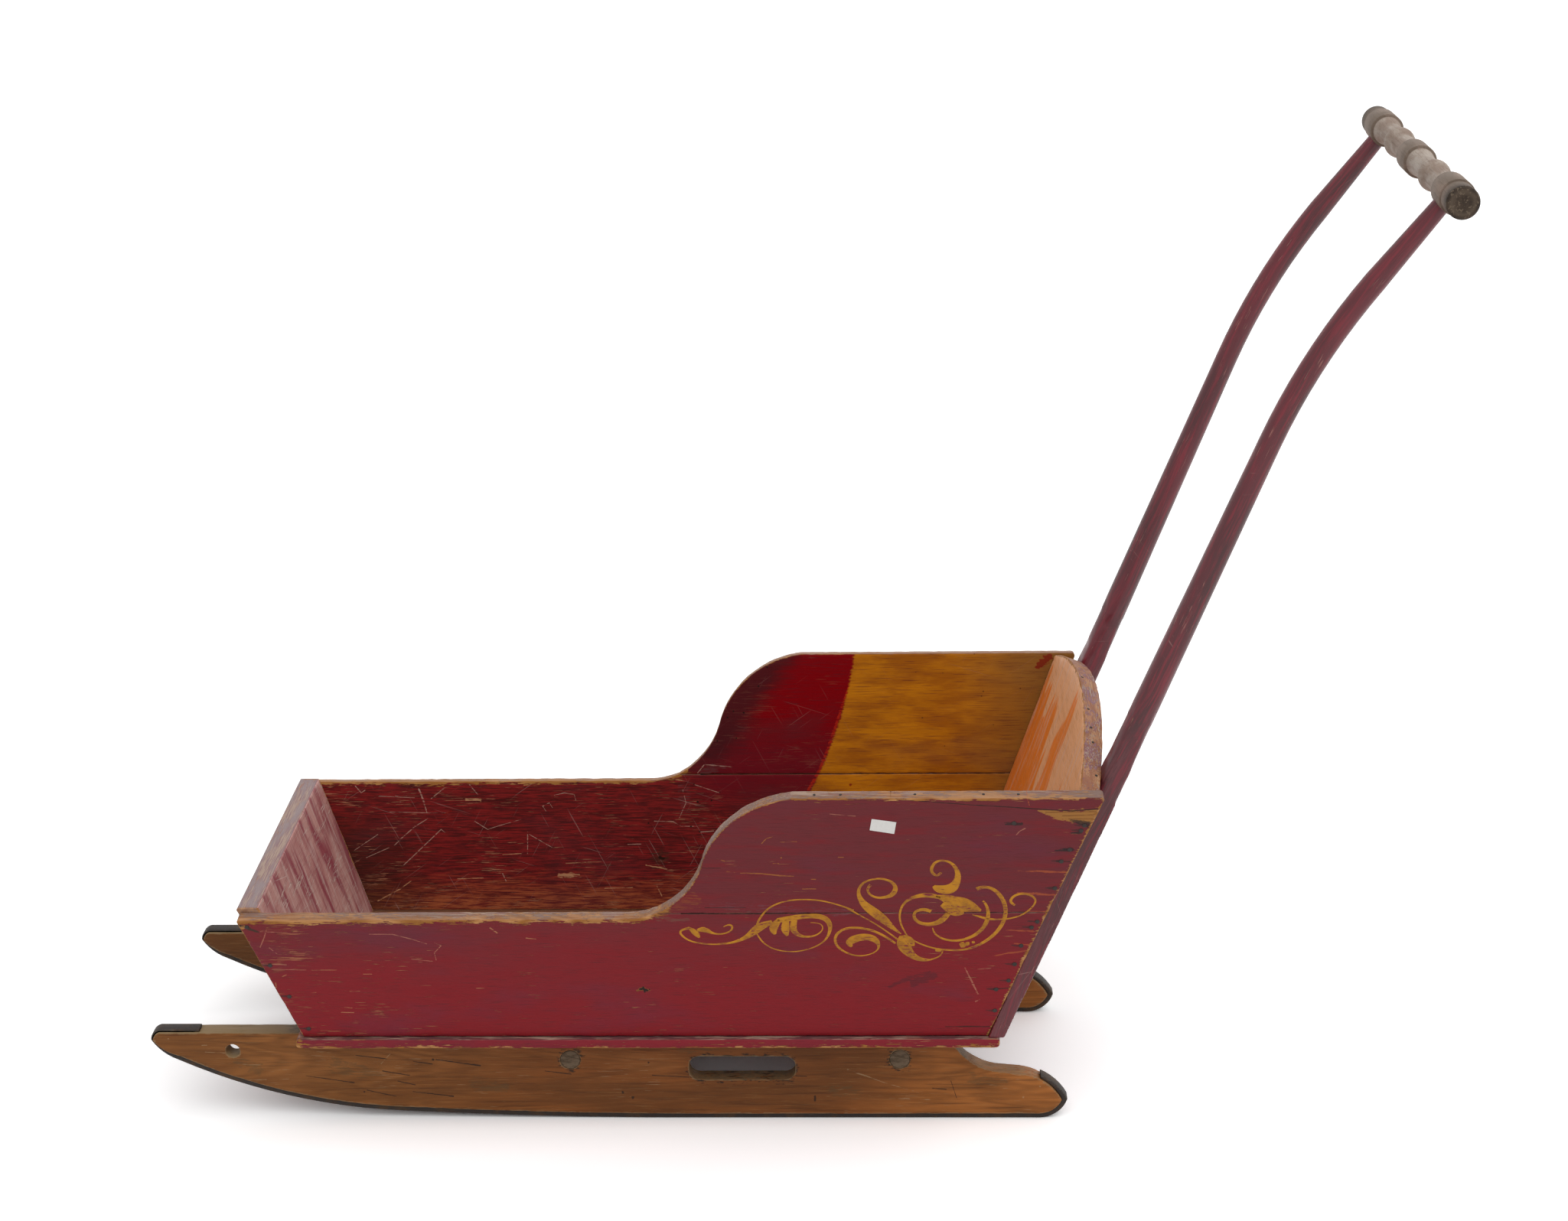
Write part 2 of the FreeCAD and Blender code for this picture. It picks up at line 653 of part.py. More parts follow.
def make_grip(name):
    """Turned grip: collars, grooves, bands, beads and a centre band, with sockets for the rods."""
    body = new_body(name)
    profile = new_sketch(body, f"{name}_profile", "YZ_Plane")
    groove = "(grip_half_length - grip_collar_length)"
    band = "(grip_half_length - grip_collar_length - grip_groove_width)"
    neck = f"({band} - grip_band_length)"
    bead = "(grip_half_length * grip_bead_share)"
    # One half from the end to the middle: a third value is the radius of an arc on the way to that corner
    half = (
        ("grip_half_length", "grip_collar_radius - grip_end_bevel"),
        ("grip_half_length - grip_end_bevel", "grip_collar_radius"),
        (groove, "grip_collar_radius"),
        (groove, "grip_groove_radius"),
        (band, "grip_groove_radius"),
        (band, "grip_band_radius"),
        (neck, "grip_band_radius"),
        (neck, "grip_band_radius - grip_step"),
        (f"{neck} - grip_flare_length", "grip_neck_radius"),
        (f"{bead} + grip_bead_half_width", "grip_neck_radius"),
        (f"{bead} - grip_bead_half_width", "grip_neck_radius", BEAD_ARC),
        ("grip_centre_half_width + grip_flare_length", "grip_neck_radius"),
        ("grip_centre_half_width", "grip_centre_radius - grip_step"),
        ("grip_centre_half_width", "grip_centre_radius"),
    )
    # The other half runs back over the same corners, so each arc belongs to the corner before it
    mirrored = []
    for place_in_half in range(len(half) - 1, -1, -1):
        y, radius = half[place_in_half][:2]
        arc = half[place_in_half + 1][2:] if place_in_half + 1 < len(half) else ()
        mirrored.append((f"-({y})", radius, *arc))
    draw(profile, ("-grip_half_length", "0"), ("grip_half_length", "0"), *half, *mirrored)
    revolve(body, f"{name}_turned", profile, "H_Axis")
    sockets = new_sketch(
        body,
        f"{name}_sockets",
        "XY_Plane",
        offset=(
            f"-(grip_collar_radius - socket_depth) * sin{HIGH_LEAN}",
            "0",
            f"-(grip_collar_radius - socket_depth) * cos{HIGH_LEAN}",
        ),
        turn=(FreeCAD.Vector(0, 1, 0), HIGH_LEAN),
    )
    for side_y in ("-(grip_half_length - grip_overhang)", "(grip_half_length - grip_overhang)"):
        draw_circle(sockets, "0", side_y, "rod_tip_radius + socket_play")
    bore = body.newObject("PartDesign::Pocket", f"{name}_bores")
    bore.Profile = sockets
    bind(bore, "Length", "2 * grip_collar_radius")
    before = body.Shape.Volume
    doc.recompute()
    if bore.Shape.Volume >= before:
        raise RuntimeError("the sockets cut nothing")
    place(body, "grip_x", "0", "grip_z")
    return body


def build_sleigh():
    """All pieces, by node name."""
    pieces = {}
    for side, sign in SIDES:
        pieces[f"runner_{side}"] = make_runner(f"runner_{side}", sign)
        pieces[f"shoe_{side}"] = make_shoe(f"shoe_{side}", sign)
        pieces[f"side_lower_{side}"] = make_plank(f"side_lower_{side}", sign, draw_lower_plank, True)
        pieces[f"side_upper_{side}"] = make_plank(f"side_upper_{side}", sign, draw_upper_plank, False)
        pieces[f"handle_{side}"] = make_handle(f"handle_{side}", sign)
    pieces["rung_front"] = make_rung("rung_front", "rung_front_x")
    pieces["rung_rear"] = make_rung("rung_rear", "rung_rear_x")
    pieces["floor_board"] = make_floor("floor_board")
    pieces["front_panel"] = make_front_panel("front_panel")
    pieces["back_panel"] = make_back_panel("back_panel")
    pieces["grip"] = make_grip("grip")
    return pieces


def export(pieces):
    """Check every object and write each piece to its own file."""
    doc.recompute()
    for item in doc.Objects:
        if "Invalid" in item.State or "Error" in item.State:
            raise RuntimeError(f"{item.Label} failed: {item.State}")
    for name, piece in pieces.items():
        if piece.Shape.isNull() or not piece.Shape.isValid() or len(piece.Shape.Solids) != 1:
            raise RuntimeError(f"{name} is not one valid solid")
    os.makedirs("parts", exist_ok=True)
    for name, piece in pieces.items():
        piece.Shape.exportStep(f"parts/{name}.step")
        print(f"{name}: {piece.Shape.Volume / 1000:.1f} cm3")


export(build_sleigh())
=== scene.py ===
"""A child's push sleigh: a splayed red box on iron-shod runners, with a bent push handle."""

import logging
import math
from collections.abc import Callable, Iterator, Sequence
from contextlib import contextmanager
from dataclasses import dataclass, field
from enum import Enum

import bpy
import numpy as np
from bpy.types import Material, MeshPolygon, Node, NodeSocket, NodeTree, Object, ShaderNodeTree
from mathutils import Euler, Matrix, Vector, noise

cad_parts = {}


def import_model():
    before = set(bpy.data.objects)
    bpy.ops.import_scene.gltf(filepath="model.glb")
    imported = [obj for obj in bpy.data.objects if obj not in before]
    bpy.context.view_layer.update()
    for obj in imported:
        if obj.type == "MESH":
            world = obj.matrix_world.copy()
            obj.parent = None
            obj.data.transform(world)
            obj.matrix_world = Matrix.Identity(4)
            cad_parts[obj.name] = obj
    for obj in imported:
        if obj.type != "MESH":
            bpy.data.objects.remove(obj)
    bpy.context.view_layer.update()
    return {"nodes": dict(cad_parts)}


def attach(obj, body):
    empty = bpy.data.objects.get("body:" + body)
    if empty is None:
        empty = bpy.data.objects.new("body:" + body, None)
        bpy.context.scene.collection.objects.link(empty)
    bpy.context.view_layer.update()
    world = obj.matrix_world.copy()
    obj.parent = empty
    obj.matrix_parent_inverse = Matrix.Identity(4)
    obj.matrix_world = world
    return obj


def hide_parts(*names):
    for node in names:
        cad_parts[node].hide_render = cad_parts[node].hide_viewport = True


log = logging.getLogger("push sleigh")
Colour = str
Value = NodeSocket | float | tuple | Colour
Line = tuple[float, ...]
Segments = list[tuple[Vector, Vector]]
MM = 0.001
BODY = "root"


class Side(Enum):
    """The two sides of the sleigh, each with the sign of its Y."""

    LEFT = -1
    RIGHT = 1

    @property
    def label(self) -> str:
        """Ending of the side's node names."""
        return self.name.lower()


def linear(code: Colour) -> tuple[float, ...]:
    """Turn a hexadecimal screen colour into a linear one.

    Args:
        code: Six hexadecimal digits.

    Returns:
        Linear red, green, blue and an alpha of 1.
    """
    parts = [int(code[i:i + 2], 16) / 255 for i in (0, 2, 4)]
    return (*(p / 12.92 if p <= 0.04045 else ((p + 0.055) / 1.055) ** 2.4 for p in parts), 1.0)


@dataclass(frozen=True)
class Pattern:
    """Cloudy pattern of a finish.

    Its fields are the lumps per metre, the stretch of its coordinates, the number of finer layers and their
    strength, the shift and the turn (in degrees) of its coordinates, and how much it is bent.
    """

    scale: float
    stretch: tuple[float, float, float] | None = None
    detail: float = 3.0
    roughness: float = 0.5
    shift: tuple[float, float, float] = (0, 0, 0)
    turn: float = 0.0
    bend: float = 0.0


class NodeSheet:
    """Adds and links shader nodes on one node tree."""

    def __init__(self, tree: NodeTree) -> None:
        """Keep the tree that the nodes go on."""
        self.tree = tree

    def feed(self, socket: NodeSocket, value: Value | None) -> None:
        """Link a socket to another, or set its own value.

        Args:
            socket: Input socket.
            value: Output socket, plain value or screen colour; None leaves the input alone.
        """
        if isinstance(value, NodeSocket):
            self.tree.links.new(value, socket)
        elif value is not None:
            socket.default_value = linear(value) if isinstance(value, str) else value

    def node(self, kind: str, settings: dict | None = None, **inputs: Value) -> Node:
        """Add a node.

        Args:
            kind: Node type without its ShaderNode prefix.
            settings: Properties of the node.
            **inputs: Input values, with underscores for the spaces of their names.

        Returns:
            The new node.
        """
        made = self.tree.nodes.new(f"ShaderNode{kind}")
        for name, value in (settings or {}).items():
            setattr(made, name, value)
        for name, value in inputs.items():
            self.feed(made.inputs[name.replace("_", " ")], value)
        return made

    def math(self, operation: str, first: Value, second: Value = 0.0, third: Value | None = None,
             clamp: bool = False) -> NodeSocket:
        """Combine two or three numbers.

        Args:
            operation: Name of the Math node's operation.
            first: First number.
            second: Second number.
            third: Third number, which MULTIPLY_ADD adds.
            clamp: Whether the result stays between 0 and 1.

        Returns:
            Socket of the result.
        """
        made = self.node("Math", {"operation": operation, "use_clamp": clamp})
        for place, value in enumerate((first, second, third)):
            self.feed(made.inputs[place], value)
        return made.outputs[0]

    def times(self, first: Value, second: Value) -> NodeSocket:
        """Multiply two numbers."""
        return self.math("MULTIPLY", first, second)

    def scaled(self, value: Value, factor: Value, more: Value) -> NodeSocket:
        """Multiply a number by a factor and add more."""
        return self.math("MULTIPLY_ADD", value, factor, more)

    def vector(self, operation: str, first: Value, second: Value | None = None,
               scale: Value | None = None) -> NodeSocket:
        """Combine two vectors.

        Args:
            operation: Name of the Vector Math node's operation.
            first: First vector.
            second: Second vector.
            scale: Factor of SCALE.

        Returns:
            Socket of the resulting vector or number.
        """
        made = self.node("VectorMath", {"operation": operation})
        self.feed(made.inputs[0], first)
        self.feed(made.inputs[1], second)
        if scale is not None:
            self.feed(made.inputs["Scale"], scale)
        return made.outputs["Value" if operation in ("DOT_PRODUCT", "LENGTH") else "Vector"]

    def mix(self, share: Value, first: Value, second: Value) -> NodeSocket:
        """Mix two colours.

        Args:
            share: Share of the second colour.
            first: Colour at a share of 0.
            second: Colour at a share of 1.

        Returns:
            Socket of the mixed colour.
        """
        made = self.node("Mix", {"data_type": "RGBA", "clamp_factor": True})
        self.feed(made.inputs[0], share)
        self.feed(made.inputs[6], first)
        self.feed(made.inputs[7], second)
        return made.outputs[2]

    def fade(self, value: Value, low: Value, high: Value, top: float = 1.0) -> NodeSocket:
        """Step smoothly from nothing to a share.

        Args:
            value: Number that is compared.
            low: Number at which the share is 0.
            high: Number at which it is full, which may be the smaller.
            top: The full share.

        Returns:
            Socket of the share.
        """
        made = self.node("MapRange", {"interpolation_type": "SMOOTHSTEP"}, Value=value, From_Min=low,
                         From_Max=high, To_Max=top)
        return made.outputs[0]

    def stretch(self, vector: Value, scale: tuple, shift: tuple = (0, 0, 0),
                turn: float = 0.0) -> NodeSocket:
        """Scale, shift and turn a pattern's coordinates.

        Args:
            vector: Coordinates.
            scale: Scale along each axis.
            shift: Shift along each axis.
            turn: Turn about the third axis, in degrees.

        Returns:
            Socket of the new coordinates.
        """
        if turn:
            angles = (0, 0, math.radians(turn))
            vector = self.node("Mapping", None, Vector=vector, Rotation=angles).outputs[0]
        return self.node("Mapping", None, Vector=vector, Location=shift, Scale=scale).outputs[0]

    def noise(self, vector: Value, pattern: Pattern) -> NodeSocket:
        """Draw a cloudy pattern.

        Args:
            vector: Coordinates in metres.
            pattern: The pattern.

        Returns:
            Socket of the pattern, about 0.5 on average.
        """
        if pattern.stretch:
            vector = self.stretch(vector, pattern.stretch, pattern.shift, pattern.turn)
        made = self.node("TexNoise", None, Vector=vector, Scale=pattern.scale, Detail=pattern.detail,
                         Roughness=pattern.roughness, Distortion=pattern.bend)
        return made.outputs["Fac"]


class SharedGroups:
    """Shader groups that several finishes use, each built once."""

    fibre = Pattern(900, (0.035, 1, 1), 4, 0.65)
    figure = Pattern(22, (0.12, 1, 1), 3, 0.45, bend=0.6)
    figure_rings = 75
    rub_fine = Pattern(700, (0.15, 1, 1), 4, 0.6)
    rub_lumps = Pattern(35)
    rub_specks = Pattern(900, (0.05, 1, 1), 3, 0.6, (0.4, 0.2, 0))
    scuff_lines = Pattern(1000, (0.04, 1, 1), 2, 0.6)
    scuff_clumps = Pattern(45, (0.4, 1, 1), 4, 0.6)
    scratch_stretch = (0.022, 1, 0.2)
    scratch_runs = ((18, 560, 0.0), (-35, 640, 0.31), (62, 600, 0.73), (118, 680, 0.57))
    scratch_clumps = Pattern(19, detail=2)
    mark_wait = (1e-9, 0, 0)
    mark_soft = 0.25
    mark_least_soft = 0.00015

    def __init__(self) -> None:
        """Build every group."""
        some = {"Vector": "Vector", "Amount": "Float"}
        mark = dict.fromkeys(("Place", "Start", "Run"), "Vector")
        mark |= dict.fromkeys(("Inverse", "First", "Growth", "Ragged", "Before"), "Float")
        self.grain = self.group("wood grain", {"Vector": "Vector"}, ("Fibre", "Figure"), self.draw_grain)
        self.rub = self.group("rubbed edge", {"Vector": "Vector", "Gap": "Float"}, ("Mask",), self.draw_rub)
        self.scuffs = self.group("scuffs along the grain", some, ("Mask",), self.draw_scuffs)
        self.scratches = self.group("crossing scratches", some, ("Mask",), self.draw_scratches)
        self.mark = self.group("one mark", mark, ("Mask",), self.draw_mark)

    def group(self, name: str, inputs: dict[str, str], outputs: tuple[str, ...],
              draw: Callable[..., tuple]) -> ShaderNodeTree:
        """Make one group.

        Args:
            name: Name of the group.
            inputs: Kind of each input, by name.
            outputs: Names of the outputs.
            draw: Function that takes a sheet and the input sockets and returns the output sockets.

        Returns:
            The group's node tree.
        """
        tree = bpy.data.node_groups.new(name, "ShaderNodeTree")
        for label, kind in inputs.items():
            tree.interface.new_socket(label, in_out="INPUT", socket_type=f"NodeSocket{kind}")
        for label in outputs:
            tree.interface.new_socket(label, in_out="OUTPUT", socket_type="NodeSocketFloat")
        sheet = NodeSheet(tree)
        entry = tree.nodes.new("NodeGroupInput")
        leave = tree.nodes.new("NodeGroupOutput")
        results = draw(sheet, *(entry.outputs[label] for label in inputs))
        for place, result in enumerate(results):
            sheet.feed(leave.inputs[place], result)
        return tree

    def draw_grain(self, sheet: NodeSheet, vector: Value) -> tuple:
        """Draw fine fibres and the broad figure of sawn wood, along the first coordinate.

        Args:
            sheet: Sheet of the group.
            vector: Place in the grain.

        Returns:
            Fibre and figure.
        """
        broad = sheet.noise(vector, self.figure)
        rings = sheet.math("SINE", sheet.times(broad, self.figure_rings))
        return sheet.noise(vector, self.fibre), sheet.scaled(rings, 0.5, 0.5)

    def draw_rub(self, sheet: NodeSheet, vector: Value, gap: Value) -> tuple:
        """Draw finish rubbed off near sharp edges, with a fringe of flecks.

        Args:
            sheet: Sheet of the group.
            vector: Place in the grain.
            gap: Distance from the edge, in units of the edge's own wear.

        Returns:
            Mask of the bare wood.
        """
        fine = sheet.noise(vector, self.rub_fine)
        lumps = sheet.noise(vector, self.rub_lumps)
        limit = sheet.scaled(fine, 3.6, sheet.scaled(lumps, 2.8, -2.5))
        solid = sheet.fade(sheet.math("SUBTRACT", limit, gap), -0.05, 0.15)
        lift = sheet.scaled(gap, -0.05, sheet.noise(vector, self.rub_specks))
        fringe = sheet.times(sheet.fade(lift, 0.57, 0.61), sheet.fade(gap, 5, 1))
        return (sheet.math("MAXIMUM", solid, fringe),)

    def draw_scuffs(self, sheet: NodeSheet, vector: Value, amount: Value) -> tuple:
        """Draw short hair-thin pale rubs along the grain, in clumps.

        Args:
            sheet: Sheet of the group.
            vector: Place in the grain.
            amount: How many, from 0 to 1.

        Returns:
            Mask of the rubs.
        """
        clumps = sheet.math("SUBTRACT", sheet.noise(vector, self.scuff_clumps), 0.5)
        joined = sheet.math("ADD", sheet.noise(vector, self.scuff_lines), sheet.times(clumps, 0.7))
        level = sheet.scaled(amount, -0.2, 0.8)
        low = sheet.math("SUBTRACT", level, 0.03)
        return (sheet.fade(joined, low, sheet.math("ADD", level, 0.02)),)

    def draw_scratches(self, sheet: NodeSheet, vector: Value, amount: Value) -> tuple:
        """Draw thin lines in a few directions, in clumps.

        Args:
            sheet: Sheet of the group.
            vector: Place in the grain.
            amount: How many, from 0 to 1.

        Returns:
            Mask of the lines.
        """
        total = None
        for turn, scale, shift in self.scratch_runs:
            pattern = Pattern(scale, self.scratch_stretch, 1, 0.4, (shift, shift, 0), turn)
            line = sheet.fade(sheet.noise(vector, pattern), 0.73, 0.78)
            total = line if total is None else sheet.math("MAXIMUM", total, line)
        level = sheet.math("SUBTRACT", 1.0, amount)
        clumps = sheet.fade(sheet.noise(vector, self.scratch_clumps), level, 0.8)
        return (sheet.times(total, clumps),)

    def draw_mark(self, sheet: NodeSheet, place: Value, start: Value, run: Value, inverse: Value,
                  first: Value, growth: Value, ragged: Value, before: Value) -> tuple:
        """Draw one straight mark, joined to the marks before it.

        Args:
            sheet: Sheet of the group.
            place: Place on the face.
            start: Where the mark starts.
            run: Step from its start to its end.
            inverse: 1 over the square of its length, or 0 for a dot.
            first: Half its width at the start.
            growth: How much wider that is at the end.
            ragged: Factor of the width, from noise.
            before: Mask of the marks before it.

        Returns:
            Mask of them all.
        """
        # a shift too small to see makes each mark wait for the last: the shader can't hold them all at once
        waiting = sheet.node("VectorMath", {"operation": "MULTIPLY_ADD"})
        for socket, value in zip(waiting.inputs, (before, self.mark_wait, place)):
            sheet.feed(socket, value)
        away = sheet.vector("SUBTRACT", waiting.outputs[0], start)
        share = sheet.math("MULTIPLY", sheet.vector("DOT_PRODUCT", away, run), inverse, clamp=True)
        nearest = sheet.vector("SCALE", run, scale=share)
        distance = sheet.vector("LENGTH", sheet.vector("SUBTRACT", away, nearest))
        width = sheet.times(sheet.scaled(share, growth, first), ragged)
        soft = sheet.scaled(width, self.mark_soft, self.mark_least_soft)
        inside = sheet.math("DIVIDE", sheet.math("SUBTRACT", width, distance), soft)
        mask = sheet.math("ADD", inside, 0.5, clamp=True)
        return (sheet.math("MAXIMUM", before, mask),)


def points(line: Line) -> list[tuple[float, ...]]:
    """Split the numbers of a line into its points."""
    return list(zip(line[::3], line[1::3], line[2::3]))


@dataclass(frozen=True)
class Marks:
    """Marks of one colour on one face.

    Each line has three numbers for each point: the place along, the place up and half the width, in
    millimetres of the face's own grain. The other fields are how strongly the marks cover, how broken they
    are, and a factor of their width.
    """

    colour: Colour
    lines: tuple[Line, ...]
    strength: float = 1.0
    patchy: float = 0.0
    share: float = 1.0


class Finish:
    """Material under construction, with the pieces' own attributes at hand."""

    uneven = Pattern(420, (0.35, 1, 1), 3, 0.6)
    broken = Pattern(600, (0.12, 1, 1), 4, 0.6, (0.3, 0.1, 0))

    def __init__(self, name: str, groups: SharedGroups, **constants: Value) -> None:
        """Start a material.

        Args:
            name: Name of the material.
            groups: Shared groups.
            **constants: Plain values of the shader's own sockets.
        """
        self.material = bpy.data.materials.new(name)
        self.material.use_nodes = True
        self.sheet = NodeSheet(self.material.node_tree)
        self.groups = groups
        self.shader = self.material.node_tree.nodes["Principled BSDF"]
        for label, value in constants.items():
            self.shader.inputs[label.replace("_", " ")].default_value = value
        self.grain = self.sheet.node("Attribute", {"attribute_name": "grain"}).outputs["Vector"]
        apart = self.sheet.node("SeparateXYZ", None, Vector=self.grain)
        self.along, self.across, self.depth = apart.outputs

    def mask(self, name: str) -> NodeSocket:
        """Number that a piece's mesh carries at each of its points."""
        return self.sheet.node("Attribute", {"attribute_name": name}).outputs["Fac"]

    def use(self, tree: ShaderNodeTree, **inputs: Value) -> Node:
        """Place a shared group.

        Args:
            tree: The group.
            **inputs: Its input values.

        Returns:
            The group's node.
        """
        made = self.sheet.node("Group")
        made.node_tree = tree
        for label, value in inputs.items():
            self.sheet.feed(made.inputs[label], value)
        return made

    def wood(self) -> tuple[NodeSocket, ...]:
        """Place the wood's fibre and figure."""
        return tuple(self.use(self.groups.grain, Vector=self.grain).outputs)

    def rubbed(self) -> NodeSocket:
        """Place the wear along the edges."""
        return self.use(self.groups.rub, Vector=self.grain, Gap=self.mask("edge_gap")).outputs[0]

    def scuffed(self, amount: Value) -> NodeSocket:
        """Place some scuffs along the grain."""
        return self.use(self.groups.scuffs, Vector=self.grain, Amount=amount).outputs[0]

    def scratched(self, amount: Value) -> NodeSocket:
        """Place some crossing scratches."""
        return self.use(self.groups.scratches, Vector=self.grain, Amount=amount).outputs[0]

    def draw_marks(self, colour: Value, marks: Sequence[Marks]) -> Value:
        """Lay marks over a colour.

        Args:
            colour: Colour below them.
            marks: The marks, the lowest first.

        Returns:
            The new colour.
        """
        sheet = self.sheet
        if not marks:
            return colour
        flat = sheet.node("CombineXYZ", None, X=self.along, Y=self.across).outputs[0]
        ragged = sheet.scaled(sheet.noise(self.grain, self.uneven), 2.6, -0.3)
        broken = sheet.noise(self.grain, self.broken)
        for mark in marks:
            mask = self.one_colour(mark, flat, ragged)
            if mark.patchy:
                kept = sheet.fade(broken, 0.3 + 0.2 * mark.patchy, 0.4 + 0.25 * mark.patchy)
                mask = sheet.times(mask, kept)
            colour = sheet.mix(sheet.times(mask, mark.strength), colour, mark.colour)
        return colour

    def one_colour(self, mark: Marks, flat: Value, ragged: Value) -> Value:
        """Join the lines of one colour.

        Args:
            mark: The lines.
            flat: Place on the face.
            ragged: Factor of the width, from noise.

        Returns:
            Socket of their mask.
        """
        total = 0.0
        for steps in map(points, mark.lines):
            for first, last in zip(steps, steps[1:] or steps):
                start, end = np.array(first) * MM, np.array(last) * MM
                run = (end[0] - start[0], end[1] - start[1], 0.0)
                square = run[0] ** 2 + run[1] ** 2
                growth = (end[2] - start[2]) * mark.share
                placed = self.use(self.groups.mark, Place=flat, Start=(start[0], start[1], 0.0), Run=run,
                                  Inverse=1 / square if square else 0.0, First=start[2] * mark.share,
                                  Growth=growth, Ragged=ragged, Before=total)
                total = placed.outputs[0]
        return total

    def close(self, colour: Value, rough: Value, height: Value, depth: float) -> Material:
        """Feed the shader.

        Args:
            colour: Base colour.
            rough: Roughness.
            height: Relief, from 0 to about 1.
            depth: Depth of the relief in metres.

        Returns:
            The finished material.
        """
        self.sheet.feed(self.shader.inputs["Base Color"], colour)
        self.sheet.feed(self.shader.inputs["Roughness"], rough)
        bump = self.sheet.node("Bump", None, Strength=1.0, Distance=depth, Height=height)
        self.sheet.feed(self.shader.inputs["Normal"], bump.outputs[0])
        return self.material


def nail_smears(size: float) -> tuple[Line, ...]:
    """List dark smears, this wide, that run forward along the grain from each nail of a side."""
    return tuple((x, rise, size, x - 9, rise + 0.5, 0.3 * size) for x, rise in NAILS)


NAILS = (
    (-505.2, 133.7), (-487.7, 87.9), (-472.9, 50.1), (-458.0, 10.5), (232.8, 250.9), (298.9, 248.0),
    (295.9, 242.4), (285.9, 220.9), (278.3, 207.5), (273.1, 176.6), (257.3, 137.8), (252.0, 131.1),
    (242.5, 109.5), (236.7, 87.5), (231.3, 67.9), (219.4, 57.3), (218.5, 31.6),
)

# Each table below holds the lines of one kind of mark, and each row of Marks dresses one face with them.
KNEE_WEAR = (
    (-38.5, 196.7, 0.5, -31, 196.3, 0.4),
    (-25.5, 195.2, 0.4, -6, 194.5, 0.6, 10.5, 192.3, 0.7, 24.8, 191.5, 0.4),
    (13, 230.7, 0.5, 28.4, 230.7, 0.5), (33.1, 176.7, 0.6, 45.7, 176.7, 0.4),
    (-4.5, 229, 0.4, -0.3, 234.4, 0.4, 5.7, 236.6, 0.4), (5.7, 206, 0.4, 11, 206, 0.4),
    (-45.6, 211, 0.4, -40.2, 209, 0.5), (67.7, 213, 0.5, 72.5, 213, 0.5),
    (41.5, 187.8, 0.4, 45.7, 187.8, 0.4), (13.5, 212.5, 0.7),
)

REAR_WEAR = (
    (215.6, 96.9, 0.5, 232, 101, 0.9, 248.6, 103.6, 0.7), (238, 171, 0.9, 256, 170.2, 1.4, 274.4, 168.6, 0.8),
    (227.9, 128.1, 0.6, 253.6, 126.3, 0.9), (238, 196.5, 0.5, 262, 196, 1.2, 286, 194.5, 0.8),
    (248, 150, 0.6, 268, 149.2, 1.0), (236, 112, 0.6, 252, 110, 1.0), (244.7, 278.5, 0.5, 246.7, 271, 0.5),
)

FRONT_CHIPS = (
    (-478, 74, 0.5, -473.2, 76.4, 0.5), (-412.4, 56.6, 0.5, -403, 56.6, 0.4),
    (-397.2, 77.2, 0.4, -389.3, 77.2, 0.4), (-420, 36.5, 0.5, -412.5, 36, 0.4),
    (-423.6, 30.7, 0.4, -411.6, 30.3, 0.5), (-451.5, 54, 0.6, -446.1, 54.8, 0.6),
    (-269.1, 132, 0.7, -262.9, 126.1, 0.6), (-287.9, 59.8, 0.4, -280.4, 59.8, 0.3),
    (-235.1, 119.9, 0.5, -225.9, 118.7, 0.4), (-447.4, 82.2, 0.4, -423, 82.2, 0.3),
    (-484.8, 66.6, 0.5, -484.7, 61, 0.4),
)

PALE_SCRATCHES = (
    (-495, 109.9, 0.4, -490, 120.9, 0.5, -486.7, 130, 0.4), (-492.9, 128.2, 0.4, -469.1, 127.2, 0.3),
    (-486.1, 109, 0.4, -479.4, 101.7, 0.4), (-500.3, 89.8, 0.3, -488.3, 89.4, 0.5, -471.9, 88.6, 0.4),
    (-486, 83.4, 0.4, -453, 82.2, 0.3),
    (-387.1, 124.9, 0.3, -364.8, 124.8, 0.4, -346.7, 119.1, 0.4, -332.3, 113.3, 0.3),
    (-324.7, 114.9, 0.3, -318.5, 111, 0.4, -325.7, 102.6, 0.4, -324.6, 93.9, 0.3),
    (-348.8, 95.1, 0.3, -328.4, 92.5, 0.4), (188.9, 83, 0.5, 196, 66, 0.9, 202.1, 51, 0.7),
    (235.4, 237.9, 0.5, 238.2, 241.7, 0.5, 243.3, 245, 0.5), (201.1, 81.4, 0.4, 214, 82.8, 0.4),
    (199.7, 42.6, 0.5, 203.4, 45, 0.4), (-45, 262, 0.3, -30, 259, 0.3), (60, 262, 0.3, 84, 259.5, 0.3),
)

CRACKS = (
    (116.8, 278.6, 0.2, 168.1, 273.8, 0.35, 194.9, 271.4, 0.4, 228.5, 269, 0.5, 262.2, 265.9, 0.5,
     287.1, 264.4, 0.5, 312.9, 266.7, 0.6),
    (-84, 147.6, 0.35, -20, 147.4, 0.3, 90, 148.2, 0.35, 242, 148, 0.35),
    (170.2, 11.8, 0.3, 190, 12, 0.6, 217.4, 11.8, 0.45), (273.8, 207.8, 0.5, 291.8, 206.7, 0.35),
    (217.1, 57.4, 0.7, 233.5, 59.1, 0.35), (-61, 155, 0.3, -21.8, 155, 0.25),
    (-65.9, 201, 0.3, -44, 201, 0.25),
)

